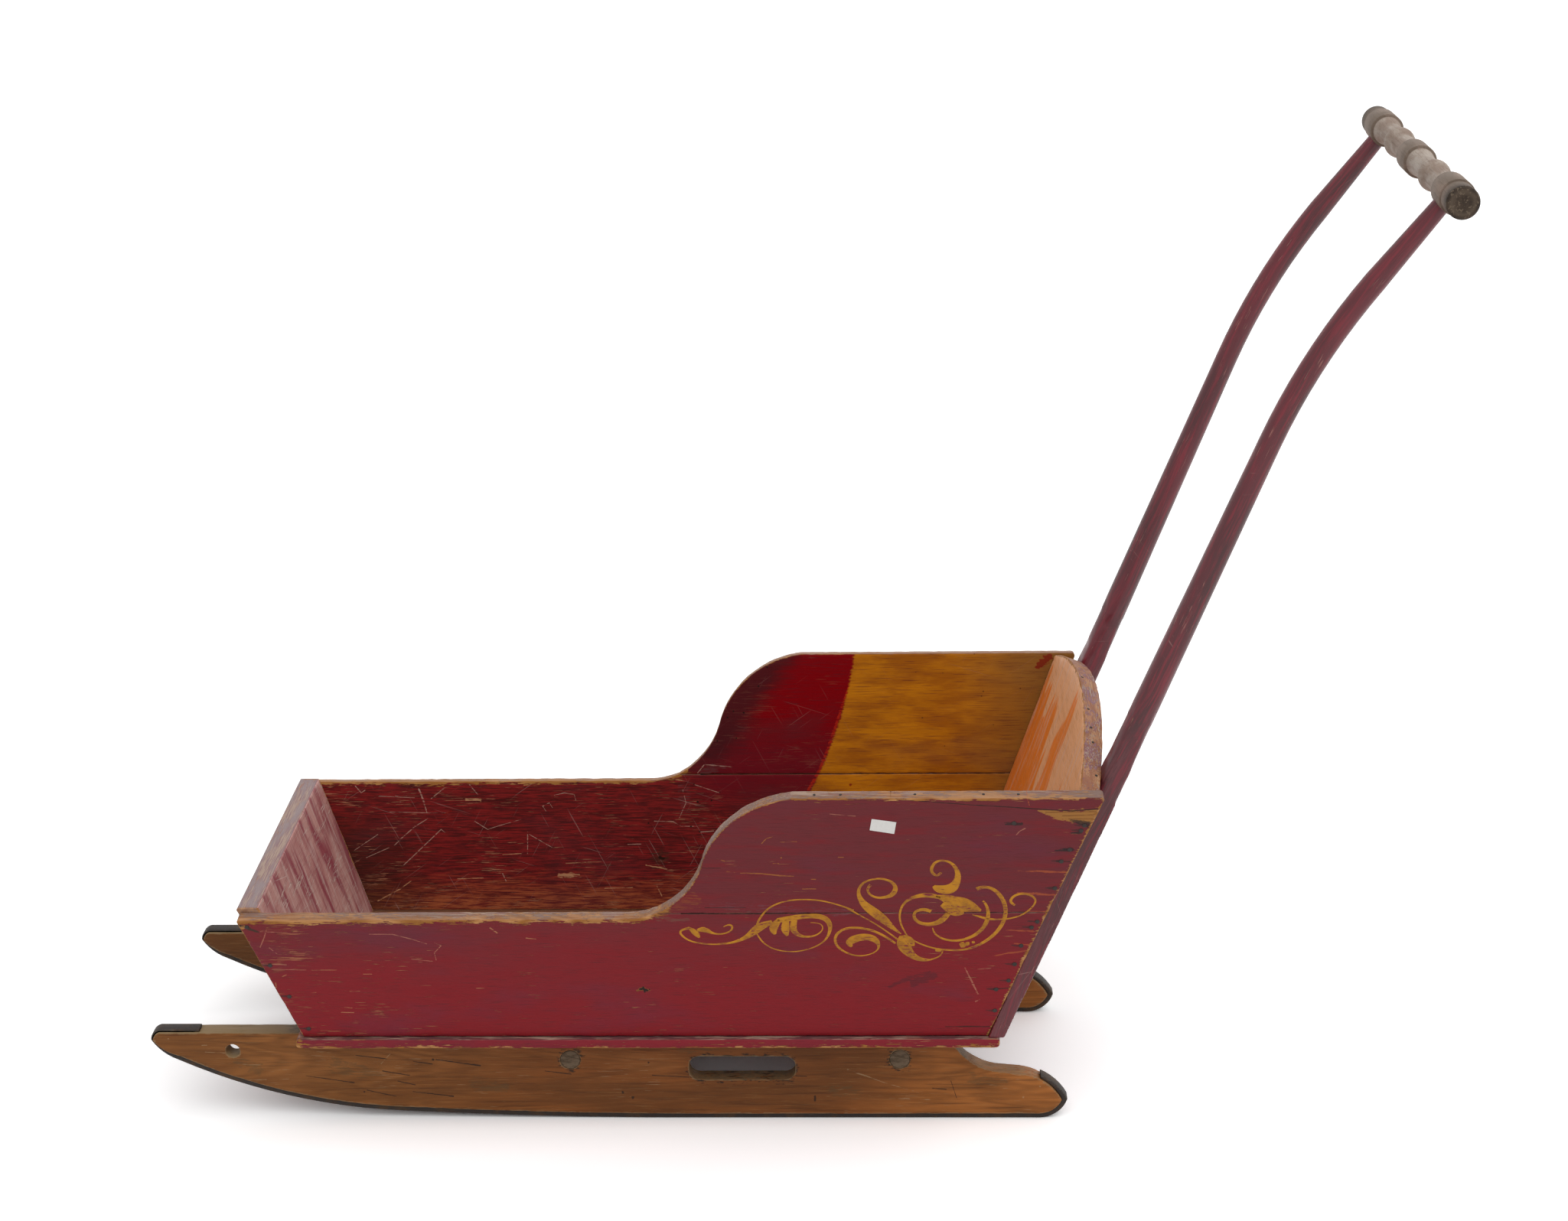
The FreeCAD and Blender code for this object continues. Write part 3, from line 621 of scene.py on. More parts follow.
NEAR_OUTSIDE = (
    Marks("6A4850", ((-52, 158, 4, 0, 153, 5, 74, 149, 4),), 0.4, 0.9),
    Marks("8A4A26", ((-101, 148, 3, -72, 164, 8),), 0.5, 0.7),
    Marks("6A5444", ((-106, 142, 3, -78, 141, 2),), 0.4, 0.6),
    Marks("4A1A22", ((115.9, 60.5, 1.6, 132.6, 69.7, 2.4, 154.8, 78.3, 1.4),
                     (140, 66, 5, 158, 74, 4)), 0.55, 0.2),
    Marks("A9692E", KNEE_WEAR, 0.7, 0.4),
    Marks("A4502E", REAR_WEAR, 0.75, 0.4),
    Marks("B47C56", FRONT_CHIPS, 0.7, 0.4),
    Marks("B87A62", PALE_SCRATCHES, 0.6, 0.4),
    Marks("9C6A34", ((255, 264.8, 0.8, 264, 262.6, 2.6, 274, 260, 5, 288, 258.3, 6.2, 300, 258, 7.2,
                      310, 260.5, 6),), 1.0),
    Marks("6E421C", ((262, 263, 0.5, 311, 263.5, 0.5), (278, 259, 0.5, 310, 260, 0.4),
                     (284, 255.5, 0.6, 308, 255.5, 0.5)), 0.8, 0.2),
    Marks("7A5024", ((-130, 57, 1.4, -125, 58.6, 2.4, -119, 56.5, 1.4),), 0.8, 0.3),
    Marks("2C1E1E", nail_smears(1.7), 0.7, 0.25),
    Marks("241A1A", ((300.8, 249.3, 3.4, 286, 253.7, 1), (295.7, 240.7, 2, 287, 239.5, 0.8),
                     (287.4, 220.8, 2.6, 272, 219.8, 0.8), (240, 250, 1.8, 225, 249.5, 0.7)), 0.85, 0.1),
    Marks("241410", CRACKS, 0.95),
    # painted shade: a dark line along the side's foot, in the gap above the base board
    Marks("1C0E0C", ((-456, 0.2, 0.9, 214, 0.2, 0.9),), 0.95),
    Marks("1C100C", ((-128, 58, 0.9, -125, 58.6, 1.7, -121, 56.8, 1.2), (-124.5, 61, 0.8, -123, 55, 0.8),
                     (-118.5, 58, 0.6)), 1.0),
    Marks("32281C", ((-513.6, 135.5, 1.6, -507.2, 133.7, 2.2, -495, 128, 1),), 0.85),
)

FAR_OUTSIDE = (
    Marks("A9692E", ((-300, 88, 0.5, -270, 86, 0.4), (-180, 40, 0.5, -160, 41, 0.4),
                     (20, 200, 0.5, 44, 199, 0.5), (120, 72, 0.4, 142, 71, 0.5),
                     (-60, 90, 0.4, -44, 92, 0.5)), 0.8),
    Marks("B87A70", ((-410, 100, 0.4, -392, 82, 0.4), (60, 250, 0.4, 86, 236, 0.4),
                     (150, 40, 0.5, 160, 66, 0.5), (-250, 60, 0.3, -221, 63, 0.4)), 0.7),
    Marks("2C1E1E", nail_smears(2.2), 0.75, 0.15),
    Marks("241410", ((-84, 147.6, 0.35, 242, 148, 0.35), (190, 18, 0.3, 216, 17.4, 0.5)), 0.95),
)

TACK_HOLES = (
    (-11, 264.9, 0.9), (-20.7, 244.5, 0.9), (-36.7, 215.5, 0.9), (-47.7, 217.2, 1.0), (-54.1, 210.2, 0.8),
    (-45, 187.7, 0.9), (-65.5, 184.6, 0.9), (-91.4, 137, 0.9), (-63.8, 128.1, 0.9), (-72.8, 119.4, 1.0),
    (-87.7, 117.6, 1.0), (-95.4, 90.3, 1.0), (-86, 84.4, 0.9), (-141.1, 94.4, 1.0),
)

FAR_PALE = (
    (-409.2, 47.6, 0.5, -388.6, 67, 0.6, -366.1, 88.3, 0.5, -361.7, 84.6, 0.3),
    (-448.7, 57, 0.3, -417.4, 70.8, 0.5, -409.9, 78.2, 0.5, -395, 91.2, 0.6, -380.2, 100.4, 0.4),
    (-461.1, 65.4, 0.4, -435.1, 83, 0.4), (-389, 133.6, 0.9, -384.9, 122.5, 1.1, -380.9, 106.8, 0.5),
    (-375.9, 122.5, 0.4, -361, 134.4, 0.5), (-333.9, 138, 0.6, -325.2, 126.9, 0.5),
    (-272.3, 85.1, 0.6, -272.6, 73.1, 0.5, -273, 61, 0.4), (-270.6, 82.4, 0.4, -245.7, 67.4, 0.5),
    (-414.6, 125.4, 0.4, -401.9, 125.4, 0.4), (-409.4, 119, 0.6),
    (-457.5, 136.7, 0.5, -451.5, 129.3, 0.6, -447.4, 132, 0.5),
    (-329.7, 97.4, 0.4, -315.6, 88.1, 0.5, -304.6, 91.7, 0.4, -279.1, 99, 0.3),
    (-242.4, 125.6, 0.4, -231.5, 128.4, 0.5, -220.8, 126.5, 0.4, -219.2, 120, 0.3),
    (-134.8, 96.6, 0.4, -115, 96, 0.5, -106.1, 91, 0.4, -88.1, 90.5, 0.4),
    (-437.2, 123.7, 0.4, -431.7, 125.5, 0.4, -393.9, 123.5, 0.3),
    (-421.5, 107.9, 0.3, -387.2, 106.9, 0.4, -358.3, 106.7, 0.3),
    (-251.9, 108.2, 0.3, -255.3, 113.7, 0.4, -248, 117.4, 0.4, -244.6, 111.8, 0.3),
    (-85.6, 84.2, 0.6, -71.2, 85.3, 0.5), (-164.1, 70.8, 0.4, -149.7, 71.2, 0.4),
    (-87.1, 149.8, 0.5, -79.8, 158.9, 0.6, -49.5, 156, 0.4), (-91.3, 136.9, 0.4, -64.2, 127.6, 0.4),
    (-103.6, 131.5, 0.3, -100.3, 116.8, 0.4, -107.7, 100.2, 0.3), (-300.7, 38.8, 0.5, -297.3, 30.4, 0.5),
)

FAR_TAN = (
    (-437.8, 8.5, 0.5, -413.7, 21.5, 0.6, -400.7, 30.8, 0.4),
    (-239.3, 35.8, 2.2, -225.7, 37.2, 3.0, -218, 37, 1.4), (-338, 121.1, 1.6, -322.7, 121, 1.8),
    (-144.7, 47.6, 0.6, -132.9, 45.4, 1.0, -122.3, 42.9, 0.6), (-133.5, 24.3, 0.4, -128.3, 13.1, 0.5),
    (-114.1, 143.5, 0.8, -101.6, 140.3, 0.6), (-231.7, 50, 0.5, -210, 51, 0.4),
    (-300, 60, 0.4, -280, 61, 0.5), (-350, 33, 0.5, -322, 34, 0.4), (-190, 22, 0.5, -160, 22.5, 0.6),
)

PAINT_LINE = ((32, 131.3, 1.4, 43, 150, 1.7, 53, 175, 1.5, 61.5, 200, 1.3, 68.5, 222, 1.1, 75.5, 243, 0.6),)

FAR_INSIDE = (
    Marks("3A261C", ((-131.9, 56.8, 7, -125.7, 55.5, 6),), 0.6, 0.5),
    Marks("5E4A4A", ((-103.6, 131.5, 7, -100.3, 110, 5), (-80, 150, 5, -60, 158, 4)), 0.35, 0.8),
    Marks("BC8A64", FAR_TAN, 0.8, 0.4, 0.85),
    Marks("B08C7C", FAR_PALE, 0.8, 0.45, 0.8),
    Marks("B42A12", PAINT_LINE, 0.6, 0.5),
    Marks("7A1810", ((277, 264, 2.4, 283, 270, 4.6, 290, 275, 3), (77, 135.9, 1.6),
                     (-362.9, 104.5, 0.8, -354.6, 108.6, 0.8)), 0.85),
    Marks("5A3414", ((147.5, 258.6, 0.7), (176.2, 257.8, 0.7), (209.8, 278.2, 0.8), (219.2, 237.5, 0.8),
                     (217.3, 232.4, 0.7), (154.2, 209.1, 0.7), (258.7, 240.5, 0.8), (178, 178, 0.6),
                     (230, 201, 0.7)), 0.9),
    Marks("1E120E", TACK_HOLES, 0.95),
    Marks("2A1610", ((-129.5, 55.9, 1.8, -126, 55.2, 1.4), (-90, 147.8, 0.4, 290, 148, 0.5),
                     (285, 195, 0.5, 296, 196, 0.5)), 0.95),
)

NEAR_INSIDE = (
    Marks("B4855E", ((-420, 30, 0.6, -390, 44, 0.6), (-260, 60, 1.4, -240, 61, 2),
                     (-160, 24, 0.5, -120, 25, 0.6)), 0.75, 0.4),
    Marks("B09084", ((-440, 110, 0.4, -400, 84, 0.5), (-330, 120, 0.5, -300, 90, 0.4),
                     (-210, 70, 0.4, -180, 90, 0.5), (-120, 110, 0.4, -96, 122, 0.5)), 0.65, 0.45),
    Marks("B42A12", PAINT_LINE, 0.6, 0.5),
    Marks("1E120E", TACK_HOLES[1:9], 0.95),
    Marks("2A1610", ((-90, 147.8, 0.4, 290, 148, 0.5),), 0.95),
)

BACK_DASHES = ((-60, 262, 0.8, -58, 254, 0.7), (-52, 263, 0.7, -50, 257, 0.6))

RUNNER_CHECKS = (
    (-419.6, 73, 0.4, -388.9, 69.1, 0.6), (-362.1, 66.1, 0.4, -343, 63.2, 0.6),
    (-338.8, 68.2, 0.5, -294.9, 61.2, 0.8), (-393.7, 55.3, 0.5, -366.9, 50.4, 0.5),
    (-379, 43.9, 0.4, -361.8, 39.6, 0.5), (-364.2, 31.9, 0.4, -323.9, 26.5, 0.7),
    (-410.6, 33.5, 0.5, -382, 26.5, 0.4), (-471.5, 49.9, 0.3, -423.6, 42.2, 0.6),
    (-229.7, 55.1, 0.4, -203.8, 51.6, 0.5), (-122.1, 50.2, 0.4, -85.6, 48, 0.4),
    (21.9, 49.4, 0.5, 33, 48.7, 0.4), (158.8, 35.2, 0.4, 172.2, 33.9, 0.5),
    (177, 43.8, 0.3, 182.8, 24.3, 0.3), (-413.7, 31.3, 0.9), (-342.1, 68.2, 1.2), (-125.4, 64.7, 0.9),
    (-152.6, 31.1, 1.4), (-142.2, 24.6, 1.6), (40.8, 26.2, 1.0, 40.8, 21.1, 0.9),
)

RUNNER_PALE = (
    (73.7, 56.9, 0.4, 110, 41.7, 0.5, 144.5, 30.4, 0.3), (266.1, 37.2, 0.9), (249.4, 24.9, 1.0),
    (262.2, 30.3, 0.7), (-395.2, 62.8, 0.3, -387.8, 71.5, 0.4, -384.7, 74.7, 0.3),
    (73.7, 55.8, 0.5, 95.7, 47.8, 0.6), (-607.5, 91.9, 0.8), (-574.1, 84.6, 0.5, -569.4, 84.9, 0.5),
    (-571.6, 77.1, 0.3, -547, 75.4, 0.4), (-558.8, 64.1, 0.3, -517.1, 62.3, 0.4),
    (-537.1, 45, 0.3, -512.2, 45.8, 0.4),
)

RUNNER_STAINS = (
    (-440, 60, 9, -400, 50, 6), (-300, 40, 7, -270, 36, 5), (-90, 80, 5, -60, 78, 4), (60, 34, 6, 84, 32, 5),
    (-540, 66, 5, -520, 58, 6), (200, 46, 6, 230, 42, 4),
)

# Painted shade: near-black on the runner slot's walls and a dark ring round each peg end, where these
# openings are shaded.
PEG_RING_SHADE = ((-204.1, 67.7, 11.0), (126, 67.7, 11.0))
SLOT_WALL_SHADE = ((-72, 58.2, 12.7, 9, 58.2, 12.7),)
RUNNER_OPENING_SHADE = (Marks("140E08", SLOT_WALL_SHADE, 0.95), Marks("2A1C10", PEG_RING_SHADE, 0.9))

NEAR_RUNNER = (
    Marks("4A3E26", RUNNER_STAINS, 0.4, 0.6), Marks("24150A", RUNNER_CHECKS, 0.9),
    Marks("B09470", RUNNER_PALE, 0.4, 0.6), *RUNNER_OPENING_SHADE,
)

FAR_RUNNER = (
    Marks("4A3E26", RUNNER_STAINS[1:4], 0.4, 0.6), Marks("24150A", RUNNER_CHECKS[3:14], 0.9),
    *RUNNER_OPENING_SHADE,
)


@dataclass(frozen=True)
class PaintedBoard:
    """Worn paint on a softwood board."""

    name: str
    low: Colour
    high: Colour
    rim: Colour
    marks: tuple[Marks, ...] = ()
    rim_bare: Colour = "B09A86"
    haze: Colour = "5E2A3E"
    hair: Colour = "4E1A20"
    wood: Colour = "BE8A58"
    wood_dark: Colour = "94602C"
    scuff: Colour = "A86A4A"
    scratch: Colour = "A88078"
    cloud: Pattern = Pattern(14, (0.45, 1, 1), 4, 0.55)
    mottle: Pattern = Pattern(110, (0.15, 1, 1), 4, 0.6)
    hairs: Pattern = Pattern(1300, (0.03, 1, 1), 2, 0.5)
    rise: tuple[float, float] = (0.11, 0.28)
    haze_share: float = 0.35
    scuff_amount: float = 0.3
    scuff_front: float = 0.34
    front: tuple[float, float] = (-0.28, -0.42)
    specular: float = 0.18
    scratch_amount: float = 0.0
    relief: float = 0.0003

    def ground(self, finish: Finish, cloud: Value, mottle: Value) -> tuple[Value, Value]:
        """Lay sound paint, before wear.

        Args:
            finish: Material under construction.
            cloud: Broad noise.
            mottle: Finer noise along the grain.

        Returns:
            The paint's colour, and the share of the face that has no scuffs.
        """
        sheet = finish.sheet
        wavy = sheet.scaled(cloud, 0.16, finish.across)
        paint = sheet.mix(sheet.fade(wavy, *self.rise), self.low, self.high)
        return sheet.mix(sheet.fade(mottle, 0.45, 0.75, 0.5), paint, self.low), 0.0

    def edged(self, finish: Finish, paint: Value, mottle: Value, hair: Value) -> Value:
        """Give the board's edges their own worn colour.

        Args:
            finish: Material under construction.
            paint: Colour of the faces.
            mottle: Noise along the grain.
            hair: Finest noise.

        Returns:
            Colour of the faces and the edges.
        """
        sheet = finish.sheet
        rim = sheet.mix(sheet.fade(mottle, 0.4, 0.62), self.rim, sheet.mix(0.35, self.rim, self.low))
        bare = sheet.scaled(mottle, 0.5, sheet.times(hair, 0.5))
        rim = sheet.mix(sheet.fade(bare, 0.5, 0.58, 0.7), rim, self.rim_bare)
        return sheet.mix(finish.mask("rim"), paint, rim)

    def build(self, groups: SharedGroups) -> Material:
        """Make the material.

        Args:
            groups: Shared groups.

        Returns:
            The material.
        """
        finish = Finish(self.name, groups, Specular_IOR_Level=self.specular)
        sheet = finish.sheet
        cloud, mottle, hair = (sheet.noise(finish.grain, p) for p in (self.cloud, self.mottle, self.hairs))
        fibre, figure = finish.wood()
        paint, calm = self.ground(finish, cloud, mottle)
        paint = sheet.mix(sheet.fade(cloud, 0.5, 0.72, self.haze_share), paint, self.haze)
        paint = sheet.mix(sheet.fade(hair, 0.55, 0.68, 0.5), paint, self.hair)
        paint = self.edged(finish, paint, mottle, hair)
        under = sheet.mix(figure, self.wood, self.wood_dark)
        under = sheet.mix(sheet.fade(fibre, 0.4, 0.75), under, self.wood_dark)
        amount = sheet.math("ADD", sheet.fade(finish.along, *self.front, self.scuff_front), self.scuff_amount)
        lost = finish.scuffed(amount)
        lost = sheet.times(lost, sheet.math("SUBTRACT", 1.0, calm))
        colour = sheet.mix(sheet.times(lost, 0.75), paint, self.scuff)
        if self.scratch_amount:
            cuts = finish.scratched(self.scratch_amount)
            cuts = sheet.times(cuts, sheet.scaled(calm, -0.8, 1.0))
            colour = sheet.mix(sheet.times(cuts, 0.6), colour, self.scratch)
            lost = sheet.math("MAXIMUM", lost, cuts)
        colour = finish.draw_marks(colour, self.marks)
        rub = finish.rubbed()
        rub = sheet.times(rub, sheet.scaled(finish.mask("rim"), -0.4, 1.0))
        colour = sheet.mix(rub, colour, under)
        rough = sheet.scaled(mottle, 0.2, sheet.scaled(rub, 0.2, 0.42))
        lost = sheet.math("MAXIMUM", rub, lost)
        height = sheet.math("SUBTRACT", sheet.times(fibre, 0.6), lost)
        return finish.close(colour, rough, height, self.relief)


@dataclass(frozen=True)
class SeatBoard(PaintedBoard):
    """Inner face of a side: worn in front, fresh red where the seat was, varnish behind the paint's edge."""

    worn_dark: Colour = "30100E"
    foot: Colour = "A65C36"
    foot_dark: Colour = "6A2420"
    # painted shade for the front corner, next to the front panel
    corner: Colour = "2C1C14"
    handled: Colour = "38161A"
    fresh: Colour = "7C0008"
    fresh_low: Colour = "68101A"
    fresh_dark: Colour = "5E0A12"
    varnish: Colour = "BC7410"
    varnish_dark: Colour = "9E5A10"
    varnish_rear: Colour = "8E602A"
    varnish_figure: Colour = "84480C"
    ragged: Pattern = Pattern(420, (0.2, 1, 1), 4, 0.65)
    fine: Pattern = Pattern(700, (0.06, 1, 1), 4, 0.7)
    brushed: Pattern = Pattern(60, (0.3, 1, 1), 4, 0.6)
    line_foot: tuple[float, float] = (0.0355, 0.1313)
    line_slope: float = 0.4931329
    line_bow: float = -1.191
    line_soft: float = 0.0016
    handled_foot: float = 0.197
    handled_slope: float = 0.65

    def ground(self, finish: Finish, cloud: Value, mottle: Value) -> tuple[Value, Value]:
        """Lay sound paint and varnish, before wear, as for any painted board.

        Args:
            finish: Material under construction.
            cloud: Broad noise.
            mottle: Finer noise along the grain.

        Returns:
            The colour, and the share of the face that has no scuffs.
        """
        sheet = finish.sheet
        along, foot = self.line_foot
        rise = sheet.math("SUBTRACT", finish.across, foot)
        bow = sheet.scaled(rise, self.line_bow, self.line_slope)
        place = sheet.math("SUBTRACT", finish.along, sheet.scaled(rise, bow, along))
        ragged = sheet.noise(finish.grain, self.ragged)
        place = sheet.scaled(ragged, 0.008, sheet.math("SUBTRACT", place, 0.004))
        ahead = sheet.scaled(cloud, 0.05, finish.along)
        above = sheet.scaled(mottle, 0.04, finish.across)
        fresh = sheet.times(sheet.fade(ahead, -0.085, -0.035), sheet.fade(above, 0.12, 0.165))
        fine = sheet.noise(finish.grain, self.fine)
        worn = self.worn_paint(finish, (fine, mottle), ahead, above)
        bright = sheet.mix(sheet.fade(above, 0.24, 0.175), self.fresh, self.fresh_low)
        red = sheet.mix(fresh, worn, sheet.mix(sheet.fade(cloud, 0.45, 0.7, 0.5), bright, self.fresh_dark))
        hand = sheet.math("ADD", finish.along, self.handled_foot)
        hand = sheet.scaled(finish.across, -self.handled_slope, hand)
        hand = sheet.scaled(fine, 0.03, sheet.scaled(mottle, 0.04, hand))
        hand = sheet.times(sheet.fade(hand, 0.088, 0.052, 0.8), sheet.fade(above, 0.16, 0.2))
        red = sheet.mix(hand, red, self.handled)
        behind = sheet.fade(place, -self.line_soft, self.line_soft)
        calm = sheet.math("MAXIMUM", sheet.times(fresh, 0.85), behind)
        return sheet.mix(behind, red, self.brushed_varnish(finish, cloud)), calm

    def worn_paint(self, finish: Finish, noises: tuple[Value, Value], ahead: Value, above: Value) -> Value:
        """Lay the worn paint of the front part, brown along the floor, with painted shade darkening the front
        corner.

        Args:
            finish: Material under construction.
            noises: Fine noise and mottle.
            ahead: Uneven place along the board.
            above: Uneven place up the board.

        Returns:
            The colour.
        """
        sheet = finish.sheet
        fine, mottle = noises
        worn = sheet.mix(sheet.fade(fine, 0.42, 0.6), self.high, self.low)
        worn = sheet.mix(sheet.fade(mottle, 0.5, 0.7, 0.6), worn, self.worn_dark)
        brown = sheet.mix(sheet.fade(fine, 0.4, 0.6), self.foot, self.foot_dark)
        low = sheet.fade(sheet.scaled(mottle, 0.08, finish.across), 0.082, 0.045)
        worn = sheet.mix(sheet.times(low, 0.8), worn, brown)
        # painted shade: darken the front corner, where the front panel shades it
        corner = sheet.times(sheet.fade(ahead, -0.33, -0.45), sheet.fade(above, 0.14, 0.08, 0.75))
        return sheet.mix(corner, worn, self.corner)

    def brushed_varnish(self, finish: Finish, cloud: Value) -> Value:
        """Lay the varnish behind the paint's edge, browner towards the rear.

        Args:
            finish: Material under construction.
            cloud: Broad noise.

        Returns:
            The colour.
        """
        sheet = finish.sheet
        brushed = sheet.noise(finish.grain, self.brushed)
        varnish = sheet.mix(sheet.fade(brushed, 0.35, 0.65), self.varnish, self.varnish_dark)
        rearward = sheet.scaled(cloud, 0.06, finish.along)
        varnish = sheet.mix(sheet.fade(rearward, 0.2, 0.32), varnish, self.varnish_rear)
        figure = finish.use(finish.groups.grain, Vector=sheet.stretch(finish.grain, (0.8, 0.7, 1)))
        return sheet.mix(sheet.times(figure.outputs["Figure"], 0.14), varnish, self.varnish_figure)


@dataclass(frozen=True)
class BackBoard(PaintedBoard):
    """Inner face of an end panel: paint with pale brush streaks and tongues of a second colour from below."""

    tongue: Colour = "EC7E28"
    streak: Colour = "E4BCA6"
    brush: Pattern = Pattern(150, (1, 0.09, 1), 3, 0.55, turn=14)
    tongues: Pattern = Pattern(26, (1, 0.22, 1), 2, 0.5, (0.3, 0, 0), 10)
    tongue_reach: float = -0.5
    tongue_top: float = 0.065
    tongue_soft: float = 0.008
    calm: float = 0.6

    def ground(self, finish: Finish, cloud: Value, mottle: Value) -> tuple[Value, Value]:
        """Lay brushed paint, before wear, as for any painted board.

        Args:
            finish: Material under construction.
            cloud: Broad noise; not used.
            mottle: Finer noise along the grain.

        Returns:
            The colour, and the share of the face that has no scuffs.
        """
        sheet = finish.sheet
        brush = sheet.noise(finish.grain, self.brush)
        tongues = sheet.noise(finish.grain, self.tongues)
        low = sheet.scaled(tongues, self.tongue_reach, finish.across)
        tongues = sheet.fade(low, self.tongue_top + self.tongue_soft, self.tongue_top - self.tongue_soft)
        paint = sheet.mix(tongues, self.high, self.tongue)
        paint = sheet.mix(sheet.fade(brush, 0.48, 0.68, 0.5), paint, self.streak)
        return sheet.mix(sheet.fade(mottle, 0.5, 0.75, 0.3), paint, self.low), self.calm


@dataclass(frozen=True)
class Varnish:
    """Old varnish over a runner's figured wood, greyed on top."""

    name: str
    marks: tuple[Marks, ...]
    front: Colour = "7C4C22"
    middle: Colour = "7E481E"
    rear: Colour = "A2622C"
    stain: Colour = "4E2E12"
    glow: Colour = "A86C38"
    figure: Colour = "5A3210"
    streak: Colour = "321A0A"
    fibre: Colour = "B08250"
    scuff: Colour = "A88A68"
    top: Colour = "6B6052"
    toe_top: Colour = "86704E"
    shade: Colour = "3A2E20"
    bare: Colour = "8E7656"
    cloud: Pattern = Pattern(18, (0.3, 1, 1), 4, 0.55)
    streaks: Pattern = Pattern(260, (0.05, 1, 1), 4, 0.6)
    top_rise: float = 0.0925
    scuff_amount: float = 0.25
    relief: float = 0.0003

    def build(self, groups: SharedGroups) -> Material:
        """Make the material.

        Args:
            groups: Shared groups.

        Returns:
            The material.
        """
        finish = Finish(self.name, groups, Specular_IOR_Level=0.2)
        sheet = finish.sheet
        fibre, figure = finish.wood()
        cloud = sheet.noise(finish.grain, self.cloud)
        streaks = sheet.noise(finish.grain, self.streaks)
        colour = sheet.mix(sheet.fade(finish.along, -0.42, -0.2), self.front, self.middle)
        colour = sheet.mix(sheet.fade(finish.along, 0.05, 0.2), colour, self.rear)
        colour = sheet.mix(sheet.fade(cloud, 0.45, 0.66, 0.55), colour, self.stain)
        colour = sheet.mix(sheet.fade(cloud, 0.48, 0.32, 0.4), colour, self.glow)
        colour = sheet.mix(sheet.times(figure, 0.4), colour, self.figure)
        colour = sheet.mix(sheet.fade(streaks, 0.52, 0.7, 0.4), colour, self.streak)
        colour = sheet.mix(sheet.fade(fibre, 0.55, 0.75, 0.3), colour, self.fibre)
        scuffs = finish.scuffed(self.scuff_amount)
        colour = sheet.mix(sheet.times(scuffs, 0.45), colour, self.scuff)
        colour = finish.draw_marks(colour, self.marks)
        above = sheet.fade(finish.across, self.top_rise - 0.03, self.top_rise - 0.02)
        above = sheet.times(finish.mask("rim"), above)
        toe = sheet.fade(finish.along, -0.475, -0.5)
        crown = sheet.mix(toe, sheet.mix(cloud, self.top, self.shade), self.toe_top)
        colour = sheet.mix(above, colour, sheet.mix(sheet.fade(streaks, 0.5, 0.7, 0.5), crown, self.shade))
        rub = finish.rubbed()
        colour = sheet.mix(sheet.times(rub, 0.55), colour, self.bare)
        rough = sheet.scaled(streaks, 0.3, 0.4)
        height = sheet.math("SUBTRACT", fibre, sheet.fade(streaks, 0.5, 0.68))
        return finish.close(colour, rough, height, self.relief)


@dataclass(frozen=True)
class RungWood:
    """Brown varnish on the rungs, with bare grey ends."""

    name: str = "rung wood"
    brown: Colour = "7E481E"
    dark: Colour = "4A2E16"
    fibre: Colour = "382010"
    end_pale: Colour = "6A5844"
    end_dark: Colour = "4C3C2A"
    cloud: Pattern = Pattern(60, (0.3, 1, 1), 4, 0.55)
    rings: Pattern = Pattern(420, (1, 1, 0.3), 3, 0.6)
    end: float = 0.1212
    relief: float = 0.0003

    def build(self, groups: SharedGroups) -> Material:
        """Make the material.

        Args:
            groups: Shared groups.

        Returns:
            The material.
        """
        finish = Finish(self.name, groups, Specular_IOR_Level=0.25)
        sheet = finish.sheet
        fibre, _ = finish.wood()
        cloud = sheet.noise(finish.grain, self.cloud)
        colour = sheet.mix(sheet.fade(cloud, 0.35, 0.65), self.brown, self.dark)
        colour = sheet.mix(sheet.fade(fibre, 0.5, 0.75, 0.5), colour, self.fibre)
        rings = sheet.noise(finish.grain, self.rings)
        ends = sheet.mix(sheet.fade(rings, 0.4, 0.62), self.end_pale, self.end_dark)
        outside = sheet.fade(sheet.math("ABSOLUTE", finish.along), self.end - 0.0006, self.end)
        colour = sheet.mix(outside, colour, ends)
        rough = sheet.scaled(cloud, 0.3, 0.45)
        return finish.close(colour, rough, fibre, self.relief)


